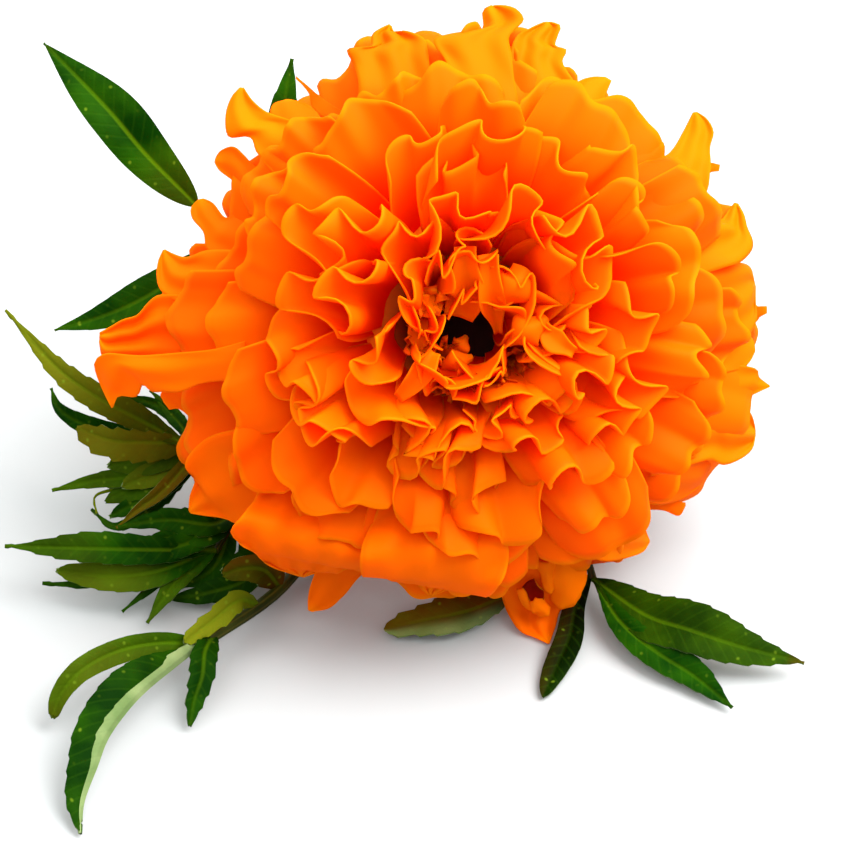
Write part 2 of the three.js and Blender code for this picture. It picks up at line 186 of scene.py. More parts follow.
def clouds(tree, scale, detail, low=0.35, high=0.65):
    """Soft patches on a piece, and its own place."""
    place = add(tree, "ShaderNodeTexCoord")["Object"]
    cloud = add(tree, NOISE, {}, {"Vector": place, "Scale": scale, "Detail": detail})[0]
    return add(tree, MAP_RANGE, {}, [cloud, low, high, 0.0, 1.0])[0], place


def skin(tree, colour, roughness, gloss, bump=None, glow=None, share=0):
    """Ends a material: its surface, and the share of it through which light glows in a colour."""
    looks = {"Base Color": colour, "Roughness": roughness, "Specular IOR Level": gloss, "Normal": bump}
    surface = add(tree, "ShaderNodeBsdfPrincipled", {}, looks)[0]
    if glow:
        through = add(tree, "ShaderNodeBsdfTranslucent", {}, {"Color": glow})[0]
        surface = add(tree, "ShaderNodeMixShader", {}, [share, surface, through])[0]
    add(tree, "ShaderNodeOutputMaterial", {}, {"Surface": surface})


# Petals. Each springs from the receptacle, rises and bends open, and widens to a frilled rim. Their
# numbers are polar ones round the bloom's axis: azimuth, how far open, and reach from the receptacle.
# RIM has the azimuths and reaches of the outline, and the last four lines here say how far petals reach
# there at most, how far they reach in the middle, and how far open the outermost and innermost are.
RIM = (
    (-12, 37), (2, 36), (24, 32.5), (50, 30.5), (66, 32.5), (95, 34), (118, 30), (140, 32), (154, 29.5),
    (168, 31.5), (180, 34.5), (200, 36), (214, 36.5), (235, 37), (255, 35), (268, 34), (280, 34.5),
    (300, 36.5), (314, 35), (332, 37.5),
)
FULL_REACH = 35
MIDDLE_REACH = 14.5
OPEN_OUTER = 99
OPEN_INNER = 11

# The petals whose middle lobe sticks out of the rim, as azimuth, open, reach, half width and lobe.
HORNS = (
    (-24, 93, 37.5, 8, 0.03),
    (-3, 88, 35.6, 7, 0.03),
    (14, 90, 35.2, 6.5, 0.04),
    (40, 90, 31.5, 6.0, 0.03),
    (73, 88, 33.8, 8, 0.04),
    (87, 84, 34.0, 6, 0.04),
    (105, 89, 33.6, 7.5, 0.04),
    (128, 90, 31.0, 6.5, 0.03),
    (150, 88, 30.4, 6.0, 0.03),
    (174, 90, 34.6, 7, 0.03),
    (211, 92, 37.0, 8.5, 0.04),
    (228, 91, 36.4, 8, 0.03),
    (302, 91, 36.0, 8, 0.03),
    (318, 92, 35, 7.5, 0.04),
)


def bloom_reach(open_angle, azimuth):
    """How far a petal reaches from the receptacle, for the bloom to have its dome and its outline."""
    first, reach = RIM[0]
    turn = (azimuth - first) % 360 + first
    stops = (*RIM, (first + 360, reach))
    after = next(i for i, stop in enumerate(stops) if stop[0] > turn)
    (start, low), (end, high) = stops[after - 1 : after + 1]
    outline = mix(low, high, smoothstep((turn - start) / (end - start), 0, 1))
    dome = mix(MIDDLE_REACH, FULL_REACH, math.sin(math.radians(min(open_angle, 90))) ** 0.5)
    return dome * mix(1, outline / FULL_REACH, smoothstep(open_angle, 50, 85))


def petal(draw, azimuth, open_angle, reach, **kept):
    """One petal's numbers. kept holds those that this petal has of its own."""
    rim = (open_angle - OPEN_INNER) / (OPEN_OUTER - OPEN_INNER)
    frilled = 1 - smoothstep(rim, 0.34, 0.56)
    half_width = kept.get("half_width", mix(3.2, 6.6, max(rim, 0) ** 0.5) * draw(0.8, 1.25))
    numbers = {
        "azimuth": azimuth,
        "open": open_angle,
        "root_open": mix(21, 76, rim) + draw(-4, 4),
        "reach": reach,
        "half_width": half_width,
        "depth": draw(0.7, 1.2) * mix(0.9, 2.4, frilled) * mix(0.5, 1, min(rim * 4, 1)),
        "waves": mix(1.2, 1.3, frilled) + draw(-0.3, 0.4),
        "phase": draw(0, 2 * math.pi),
        "cup": draw(-0.6, 1.4) * mix(2.4, 1.4, rim),
        "round": half_width / reach * mix(0.35, 0.65, frilled) * draw(0.7, 1.3),
        "roll": draw(-1, 1) * mix(0.6, 0.2, rim),
        "lobe": draw(0.006, 0.026),
        "hue": draw(0, 1),
        "shared": mix(0.4, 1, frilled) * mix(0.6, 1, min(rim * 4, 1)),
        "curl": draw(0, 0.12),
        "slew": draw(-1, 1) * mix(3, 2, rim),
        "fine": draw(0.1, 0.4),
        "overlap": mix(0.15, 0.45, frilled),
    }
    numbers.update(kept)
    return numbers


# The marks that carry a petal's numbers to the tree, three each.
BANDS = {
    "aim": ("azimuth", "open", "root_open"),
    "form": ("reach", "half_width", "lobe"),
    "frill": ("depth", "waves", "phase"),
    "hang": ("cup", "round", "roll"),
    "edge": ("shared", "curl", "hue"),
    "lean": ("slew", "fine", "overlap"),
}
ANGLES = ("azimuth", "open", "root_open")

# How a petal's rim is scalloped across its width, and how late along a petal each thing sets in: at 1
# evenly, and at more nearer to its rim.
SCALLOPS = 6.0
CRENELS = 18.0
ROW_LATENESS = 1.35
SLEW_LATENESS = 2.0
FRILL_LATENESS = 3.6
BEND_LATENESS = 1.7
CURL_LATENESS = 7.0
FOLD_LATENESS = 2.5


def bud_mesh(name, petals):
    """A point for each petal, with the petal's numbers as marks."""
    turned = [{**numbers, **{k: math.radians(numbers[k]) for k in ANGLES}} for numbers in petals]
    bands = {band: [numbers[k] for numbers in turned for k in keys] for band, keys in BANDS.items()}
    return new_mesh(name, [(0, 0, 0)] * len(petals), **bands)


def petal_tree():
    """Turns a mesh of buds into petals. Sizes are in mm."""
    sizes = {
        "Buds": ("Geometry", None),
        "Columns": ("Int", 37),
        "Rows": ("Int", 13),
        "Claw radius": ("Float", 9.0),
        "Crater radius": ("Float", 3.4),
        "Least height": ("Float", 3.3),
        "Shared fold depth": ("Float", 5.0),
        "Shared fold size": ("Float", 11.0),
        "Material": ("Material", None),
    }
    tree, given_sizes = new_tree("petals", sizes, "Petals")
    buds, columns, rows, claw, crater, least, fold_depth, fold_size, material = given_sizes

    sizes = {"Size X": 2, "Size Y": 1, "Vertices X": columns, "Vertices Y": rows}
    sheet, sheet_uv = add(tree, GRID, {}, sizes)
    spot = add(tree, POSITION)[0]
    raised = add(tree, VECTOR_MATH, "ADD", [spot, (0, 0.5, 0)])[0]
    spanned = add(
        tree,
        STORE,
        {"data_type": "FLOAT_VECTOR", "domain": "POINT"},
        {"Geometry": sheet, "Name": "span", "Value": raised},
    )[0]
    laid = add(
        tree,
        STORE,
        {"data_type": "FLOAT2", "domain": "CORNER"},
        {"Geometry": spanned, "Name": "UVMap", "Value": sheet_uv},
    )[0]
    petals = add(tree, "GeometryNodeInstanceOnPoints", {}, {"Points": buds, "Instance": laid})[0]
    petals = add(tree, REALIZE, {}, [petals])[0]

    given = {}
    for band, keys in {"span": ("across", "along_even"), **BANDS}.items():
        mark = add(tree, MARK, THREE, {"Name": band})[0]
        given.update(zip(keys, add(tree, SEPARATE, {}, [mark])))
    across = given["across"]

    # Rows lie closer together towards the rim, where the frills are.
    left = add(tree, MATH, "SUBTRACT", [1.0, given["along_even"]])[0]
    left = add(tree, MATH, "POWER", [left, ROW_LATENESS])[0]
    along = add(tree, MATH, "SUBTRACT", [1.0, left])[0]

    # The rim is rounded at its corners and lobed.
    aside = add(tree, MATH, "ABSOLUTE", [across])[0]
    corner = add(tree, MATH, "POWER", [aside, 2.4])[0]
    corner = add(tree, MATH, "MULTIPLY", [corner, given["round"]])[0]
    scallop = add(tree, MATH, "MULTIPLY_ADD", [across, SCALLOPS, given["phase"]])[0]
    scallop = add(tree, MATH, "COSINE", [scallop])[0]
    crenel = add(tree, MATH, "MULTIPLY", [given["phase"], 3.0])[0]
    crenel = add(tree, MATH, "MULTIPLY_ADD", [across, CRENELS, crenel])[0]
    crenel = add(tree, MATH, "COSINE", [crenel])[0]
    scallop = add(tree, MATH, "MULTIPLY_ADD", [crenel, -0.1, scallop])[0]
    notch = add(tree, MATH, "MULTIPLY_ADD", [scallop, given["lobe"], corner])[0]
    notch = add(tree, MATH, "MULTIPLY", [notch, along])[0]
    tip = add(tree, MATH, "SUBTRACT", [1.0, notch])[0]
    tip = add(tree, MATH, "MULTIPLY", [tip, given["reach"]])[0]
    length = add(tree, MATH, "SUBTRACT", [tip, claw])[0]
    distance = add(tree, MATH, "MULTIPLY_ADD", [length, along, claw])[0]

    # Its width, from the narrow claw to the broad rim.
    width = add(tree, MATH, "MULTIPLY_ADD", [along, 0.5 * math.pi, 0.32])[0]
    width = add(tree, MATH, "SINE", [width])[0]
    width = add(tree, MATH, "POWER", [width, 1.1])[0]
    width = add(tree, MATH, "MULTIPLY", [width, given["half_width"]])[0]
    aside_by = add(tree, MATH, "MULTIPLY", [across, width])[0]
    slewing = add(tree, MATH, "POWER", [along, SLEW_LATENESS])[0]
    sideways = add(tree, MATH, "MULTIPLY_ADD", [slewing, given["slew"], aside_by])[0]

    # Each petal's own frill, which deepens towards the rim, its hollow across, and its curl.
    deepening = add(tree, MATH, "POWER", [along, FRILL_LATENESS])[0]
    wave = add(tree, MATH, "MULTIPLY", [given["waves"], math.pi])[0]
    wave = add(tree, MATH, "MULTIPLY_ADD", [wave, across, given["phase"]])[0]
    crest = add(tree, MATH, "SINE", [wave])[0]
    ripple = add(tree, MATH, "MULTIPLY_ADD", [wave, 2.3, given["phase"]])[0]
    ripple = add(tree, MATH, "SINE", [ripple])[0]
    crest = add(tree, MATH, "MULTIPLY_ADD", [ripple, given["fine"], crest])[0]
    crest = add(tree, MATH, "MULTIPLY", [crest, given["depth"]])[0]
    crest = add(tree, MATH, "MULTIPLY", [crest, deepening])[0]
    hollow = add(tree, MATH, "MULTIPLY", [across, across])[0]
    hollow = add(tree, MATH, "MULTIPLY", [hollow, given["cup"]])[0]
    hollow = add(tree, MATH, "MULTIPLY", [hollow, along])[0]
    heave = add(tree, MATH, "SUBTRACT", [crest, hollow])[0]
    roll = add(tree, MATH, "MULTIPLY", [given["roll"], along])[0]
    heave = add(tree, MATH, "MULTIPLY_ADD", [roll, aside_by, heave])[0]
    heave = add(tree, MATH, "DIVIDE", [heave, distance])[0]
    bend = add(tree, MATH, "POWER", [along, BEND_LATENESS])[0]
    swing = add(tree, MATH, "SUBTRACT", [given["open"], given["root_open"]])[0]
    opened = add(tree, MATH, "MULTIPLY_ADD", [swing, bend, given["root_open"]])[0]
    curl = add(tree, MATH, "POWER", [along, CURL_LATENESS])[0]
    curl = add(tree, MATH, "MULTIPLY", [curl, given["curl"]])[0]
    opened = add(tree, MATH, "ADD", [opened, curl])[0]
    opened = add(tree, MATH, "ADD", [opened, heave])[0]
    sine = add(tree, MATH, "SINE", [opened])[0]
    radius = add(tree, MATH, "MULTIPLY", [sine, distance])[0]
    radius = add(tree, MATH, "MAXIMUM", [radius, crater])[0]
    # Frills fold over themselves a little, as a hem with too much cloth does.
    overlap = add(tree, MATH, "MULTIPLY", [wave, 2.0])[0]
    overlap = add(tree, MATH, "SINE", [overlap])[0]
    overlap = add(tree, MATH, "MULTIPLY", [overlap, deepening])[0]
    overlap = add(tree, MATH, "MULTIPLY", [overlap, given["depth"]])[0]
    overlap = add(tree, MATH, "MULTIPLY", [overlap, given["overlap"]])[0]
    sideways = add(tree, MATH, "SUBTRACT", [sideways, overlap])[0]
    turn = add(tree, MATH, "DIVIDE", [sideways, radius])[0]
    turn = add(tree, MATH, "ADD", [turn, given["azimuth"]])[0]

    # Folds that neighbouring petals share, because they grew packed against each other. They are
    # twice as long from petal to petal as along a rim, so that the petals don't meet.
    spread = add(tree, MATH, "MULTIPLY", [radius, float(FULL_REACH)])[0]
    spread = add(tree, MATH, "SQRT", [spread])[0]
    cosine = add(tree, MATH, "COSINE", [turn])[0]
    turned_sine = add(tree, MATH, "SINE", [turn])[0]
    fold_x = add(tree, MATH, "MULTIPLY", [cosine, spread])[0]
    fold_y = add(tree, MATH, "MULTIPLY", [turned_sine, spread])[0]
    open_cosine = add(tree, MATH, "COSINE", [opened])[0]
    fold_z = add(tree, MATH, "MULTIPLY", [open_cosine, distance])[0]
    fold_z = add(tree, MATH, "MULTIPLY", [fold_z, 0.5])[0]
    fold_at = add(tree, COMBINE, {}, [fold_x, fold_y, fold_z])[0]
    fineness = add(tree, MATH, "DIVIDE", [1.0, fold_size])[0]
    sizes = {"Vector": fold_at, "Scale": fineness, "Detail": 0.6, "Roughness": 0.5}
    fold = add(tree, NOISE, {}, sizes)[1]
    fold = add(tree, VECTOR_MATH, "SUBTRACT", [fold, (0.5, 0.5, 0.5)])[0]
    fold = add(tree, VECTOR_MATH, "SCALE", {"Vector": fold, "Scale": fold_depth})[0]
    packed = add(tree, MATH, "POWER", [along, FOLD_LATENESS])[0]
    fold = add(tree, VECTOR_MATH, "SCALE", {"Vector": fold, "Scale": packed})[0]
    fold = add(tree, VECTOR_MATH, "SCALE", {"Vector": fold, "Scale": given["shared"]})[0]
    fold_open, fold_turn, fold_reach = add(tree, SEPARATE, {}, [fold])
    fold_open = add(tree, MATH, "DIVIDE", [fold_open, distance])[0]
    opened = add(tree, MATH, "ADD", [opened, fold_open])[0]
    fold_turn = add(tree, MATH, "DIVIDE", [fold_turn, radius])[0]
    turn = add(tree, MATH, "MULTIPLY_ADD", [fold_turn, 0.5, turn])[0]
    distance = add(tree, MATH, "MULTIPLY_ADD", [fold_reach, 0.35, distance])[0]

    # From polar numbers to the petal's place, with the bloom's axis laid over, above the floor.
    sine = add(tree, MATH, "SINE", [opened])[0]
    radius = add(tree, MATH, "MULTIPLY", [sine, distance])[0]
    radius = add(tree, MATH, "SMOOTH_MAX", [radius, crater, 1.5])[0]
    cosine = add(tree, MATH, "COSINE", [turn])[0]
    turned_sine = add(tree, MATH, "SINE", [turn])[0]
    x = add(tree, MATH, "MULTIPLY", [cosine, radius])[0]
    y = add(tree, MATH, "MULTIPLY", [turned_sine, radius])[0]
    z = add(tree, MATH, "COSINE", [opened])[0]
    z = add(tree, MATH, "MULTIPLY", [z, distance])[0]
    place = add(tree, COMBINE, {}, [x, y, z])[0]
    place = add(
        tree,
        "ShaderNodeVectorRotate",
        {"rotation_type": "X_AXIS"},
        {"Vector": place, "Center": (0, 0, 0), "Angle": AXIS_TURN},
    )[0]
    place = add(tree, VECTOR_MATH, "ADD", [place, tuple(RECEPTACLE)])[0]
    x, y, z = add(tree, SEPARATE, {}, [place])
    z = add(tree, MATH, "SMOOTH_MAX", [z, least, 0.8])[0]
    place = add(tree, COMBINE, {}, [x, y, z])[0]
    place = add(tree, VECTOR_MATH, "SCALE", {"Vector": place, "Scale": MM})[0]
    placed = add(tree, SET_POSITION, {}, {"Geometry": petals, "Position": place})[0]
    return end_tree(tree, placed, material)


def grown(name, buds, tree=None, sizes=None, thickness=0):
    """A plain mesh of what a tree grows from a mesh of buds, given its thickness."""
    sprout = new_piece(name + "_buds", buds)
    if tree:
        growth = sprout.modifiers.new("growth", "NODES")
        growth.node_group = tree
        for item in tree.interface.items_tree:
            if item.name in sizes:
                growth[item.identifier] = sizes[item.name]
    if thickness:
        wall = sprout.modifiers.new("thickness", "SOLIDIFY")
        wall.thickness = thickness * MM
        wall.offset = 0
    bpy.context.view_layer.update()
    depsgraph = bpy.context.evaluated_depsgraph_get()
    mesh = bpy.data.meshes.new_from_object(sprout.evaluated_get(depsgraph))
    mesh.name = name
    bpy.data.objects.remove(sprout)
    return new_piece(name, mesh)


def petal_material():
    """Marigold petal: thin living tissue, matt as velvet, that glows orange where light comes through."""
    material, tree = new_material("petal")
    span = add(tree, ATTRIBUTE, {"attribute_name": "span"})["Vector"]
    across, along, _ = add(tree, SEPARATE, {}, [span])
    edge = add(tree, ATTRIBUTE, {"attribute_name": "edge"})["Vector"]
    hue = add(tree, SEPARATE, {}, [edge])[2]
    # Painted highlight: a thin lighter orange line along each petal's sides and rim.
    edge = add(tree, MATH, "ABSOLUTE", [across])[0]
    edge = add(tree, MAP_RANGE, SMOOTH, [edge, 0.95, 1.0, 0.0, 0.6])[0]
    rim = add(tree, MAP_RANGE, SMOOTH, [along, 0.93, 1.0, 0.0, 0.8])[0]
    rim = add(tree, MATH, "MAXIMUM", [edge, rim])[0]
    # Painted shade: from its middle down to its foot a petal turns red, then dark red, as the shade deep in
    # the bloom.
    depth = add(tree, MAP_RANGE, SMOOTH, [along, 0.25, 0.8, 0.0, 1.0])[0]
    # A hue from 0 to 1 is a petal's own tone. A petal whose hue is above 1 is yellower than both: painted
    # light, where light falls on thin petals and lobes and shines through them.
    unclamped = {"data_type": "RGBA", "clamp_factor": False}
    ripe = add(tree, MIX, unclamped, {"Factor": hue, "A": "#FF6A00", "B": "#FF7E00"})["Result"]
    # The painted shade at the foot: dark red at the very foot, red above it.
    foot = add(tree, MAP_RANGE, SMOOTH, [along, 0.0, 0.2, 0.0, 1.0])[0]
    foot = add(tree, MIX, COLOURS, {"Factor": foot, "A": "#8A0E00", "B": "#FF2000"})["Result"]
    blade = add(tree, MIX, COLOURS, {"Factor": depth, "A": foot, "B": ripe})["Result"]
    colour = add(tree, MIX, COLOURS, {"Factor": rim, "A": blade, "B": "#FF9400"})["Result"]
    skin(tree, colour, 0.6, 0.03, glow=colour, share=0.5)
    return material


PETALS = 124
# A head of florets adds each one this many degrees round from the last.
GOLDEN_ANGLE = 137.508
PETAL_THICKNESS = 0.2

# The bloom's pieces: from and to how far open their petals are, and a petal's columns and rows.
RINGS = (
    ("outer_petals", 74, 200, 31, 13),
    ("middle_petals", 42, 74, 39, 13),
    ("inner_petals", 0, 42, 27, 11),
)


def ordinary_petals(count, seed):
    """The petals in the order in which such a head grows them, from the rim inwards."""
    draw = random.Random(seed).uniform
    petals = []
    for i in range(count):
        share = 1 - (1 - (i + 0.5) / count) ** 1.35
        cosine = mix(math.cos(math.radians(OPEN_OUTER)), math.cos(math.radians(OPEN_INNER)), share)
        open_angle = math.degrees(math.acos(cosine))
        azimuth = (i * GOLDEN_ANGLE + draw(-8, 8) + 360) % 360
        reach = bloom_reach(open_angle, azimuth) * draw(0.94, 1.04)
        petals.append(petal(draw, azimuth, open_angle + draw(-4, 4), reach))
    return petals


petals = ordinary_petals(PETALS, 12)
draw = random.Random(3).uniform
for azimuth, open_angle, reach, half_width, lobe in HORNS:
    lobed = {
        "half_width": half_width,
        "phase": math.pi,
        "lobe": lobe,
        "slew": draw(-1.5, 1.5),
        "round": 0.4 * half_width / reach,
        "depth": draw(1.2, 2),
        "overlap": 0,
    }
    petals.append(petal(draw, azimuth, open_angle, reach, **lobed))

growth = petal_tree()
petal_skin = petal_material()
bloom_pieces = []
for name, low, high, columns, rows in RINGS:
    buds = bud_mesh(name, [numbers for numbers in petals if low <= numbers["open"] < high])
    sizes = {"Columns": columns, "Rows": rows, "Material": petal_skin}
    bloom_pieces.append(grown(name, buds, growth, sizes, PETAL_THICKNESS))
for piece in bloom_pieces:
    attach(piece, "root")
    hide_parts("bloom")

# Paths, as smooth curves through a few points, read by their share of the length.
SPAN_STEPS = 24


class Path:
    def __init__(self, points):
        points = [Vector(point) for point in points]
        ends = [2 * points[0] - points[1], *points, 2 * points[-1] - points[-2]]
        self.points = []
        for before, start, end, after in zip(ends, ends[1:], ends[2:], ends[3:]):
            chords = ((start - before), (end - start), (after - end))
            d0, d1, d2 = (math.sqrt(chord.length) for chord in chords)
            leave = d1 * ((start - before) / d0 - (end - before) / (d0 + d1) + (end - start) / d1)
            arrive = d1 * ((end - start) / d1 - (after - start) / (d1 + d2) + (after - end) / d2)
            for k in range(SPAN_STEPS):
                t = k / SPAN_STEPS
                self.points.append(
                    (2 * t**3 - 3 * t**2 + 1) * start
                    + (t**3 - 2 * t**2 + t) * leave
                    + (3 * t**2 - 2 * t**3) * end
                    + (t**3 - t**2) * arrive
                )
        self.points.append(points[-1])
        self.run = [0]
        for a, b in zip(self.points, self.points[1:]):
            self.run.append(self.run[-1] + (b - a).length)
        self.length = self.run[-1]

    def at(self, share):
        """The point and the direction at a share of the length."""
        run = min(max(share, 0), 1) * self.length
        after = next((i for i, r in enumerate(self.run) if r > run), len(self.run) - 1)
        a, b = self.points[after - 1], self.points[after]
        part = (run - self.run[after - 1]) / (self.run[after] - self.run[after - 1])
        ahead, behind = self.points[min(after + 1, len(self.points) - 1)], self.points[max(after - 2, 0)]
        return a.lerp(b, part), (ahead - behind).normalized()


# Small folded petals that hang into the hollow, lie round it, and are rolled up on the lowest petal.
# They have points, as pixels of the photograph and the height along the bloom's axis, half widths at
# start, middle and end, and how much each is folded along its middle.
PIXEL = 0.12
RECEPTACLE_PIXEL = (458, 312)
BLOOM_AXIS = FLOWER.to_3x3() @ Vector((0, 0, 1))
FOLDED_PETALS = (
    (((464, 246, 22.6), (465, 274, 22.2), (467, 309, 18.5)), (1.2, 1.9, 0.2), 0.5, {}),
    (((487, 254, 22.4), (490, 290, 22), (498, 333, 18)), (1.2, 1.4, 0.5), 0.7, {}),
    (((476, 262, 21), (468, 288, 20.6), (458, 317, 18.4)), (1.5, 2.6, 1.6), 0.2, {}),
    (((524, 268, 22), (514, 284, 22.8), (498, 297, 21)), (1.4, 2.3, 1.5), -0.6, {}),
    (((546, 318, 21.6), (528, 329, 22.8), (507, 343, 20)), (0.8, 2.0, 0.5), -0.7, {}),
    (((540, 320, 21.4), (552, 338, 22.4), (574, 352, 22)), (0.5, 1.3, 0.7), 0.5, {}),
    (((398, 398, 22), (416, 380, 23), (434, 352, 21)), (0.6, 1.4, 0.8), 0.5, {}),
    (((442, 368, 17), (456, 362, 18.4), (472, 357, 17)), (0.7, 1.4, 0.4), -0.6, {}),
    (((453, 352, 15.6), (461, 344, 17), (466, 336, 15.6)), (0.6, 1.1, 0.3), -0.5, {}),
    (((424, 318, 19), (418, 334, 20.6), (424, 352, 20)), (0.5, 1.2, 0.8), 0.5, {}),
    (((440, 300, 19), (428, 306, 20.6), (414, 302, 20.4)), (0.6, 1.4, 0.9), 0.4, {}),
)
# A hue of 1.6 is painted light on these rolled lobes.
ROUND = {"rounding": 0.3, "hue": 1.6}
ROLLED_PETALS = (
    # The first is coloured as a petal's dark red foot: painted shade in the hollow of the lowest petal.
    (((529, 582, 5.2), (535, 591, 4.6), (542, 601, 3.8)), (0.8, 1.0, 0.7), 0.4,
     {"span": (0, 0.04), "rounding": 0.3}),
    (((522, 588, 5.2), (527, 600, 4.4), (537, 608, 3.6)), (0.5, 0.6, 0.6), -0.7, ROUND),
    (((534, 600, 4.8), (541, 607, 4.2), (549, 614, 3.4)), (0.5, 1.0, 0.9), -0.6, ROUND),
    (((564, 552, 6.4), (567, 580, 5.4), (562, 607, 3.4)), (2.2, 2.3, 1.8), -0.35, ROUND),
    (((548, 560, 6.4), (549, 576, 5.6), (552, 592, 4.6)), (1.4, 0.9, 0.6), -0.7, ROUND),
)
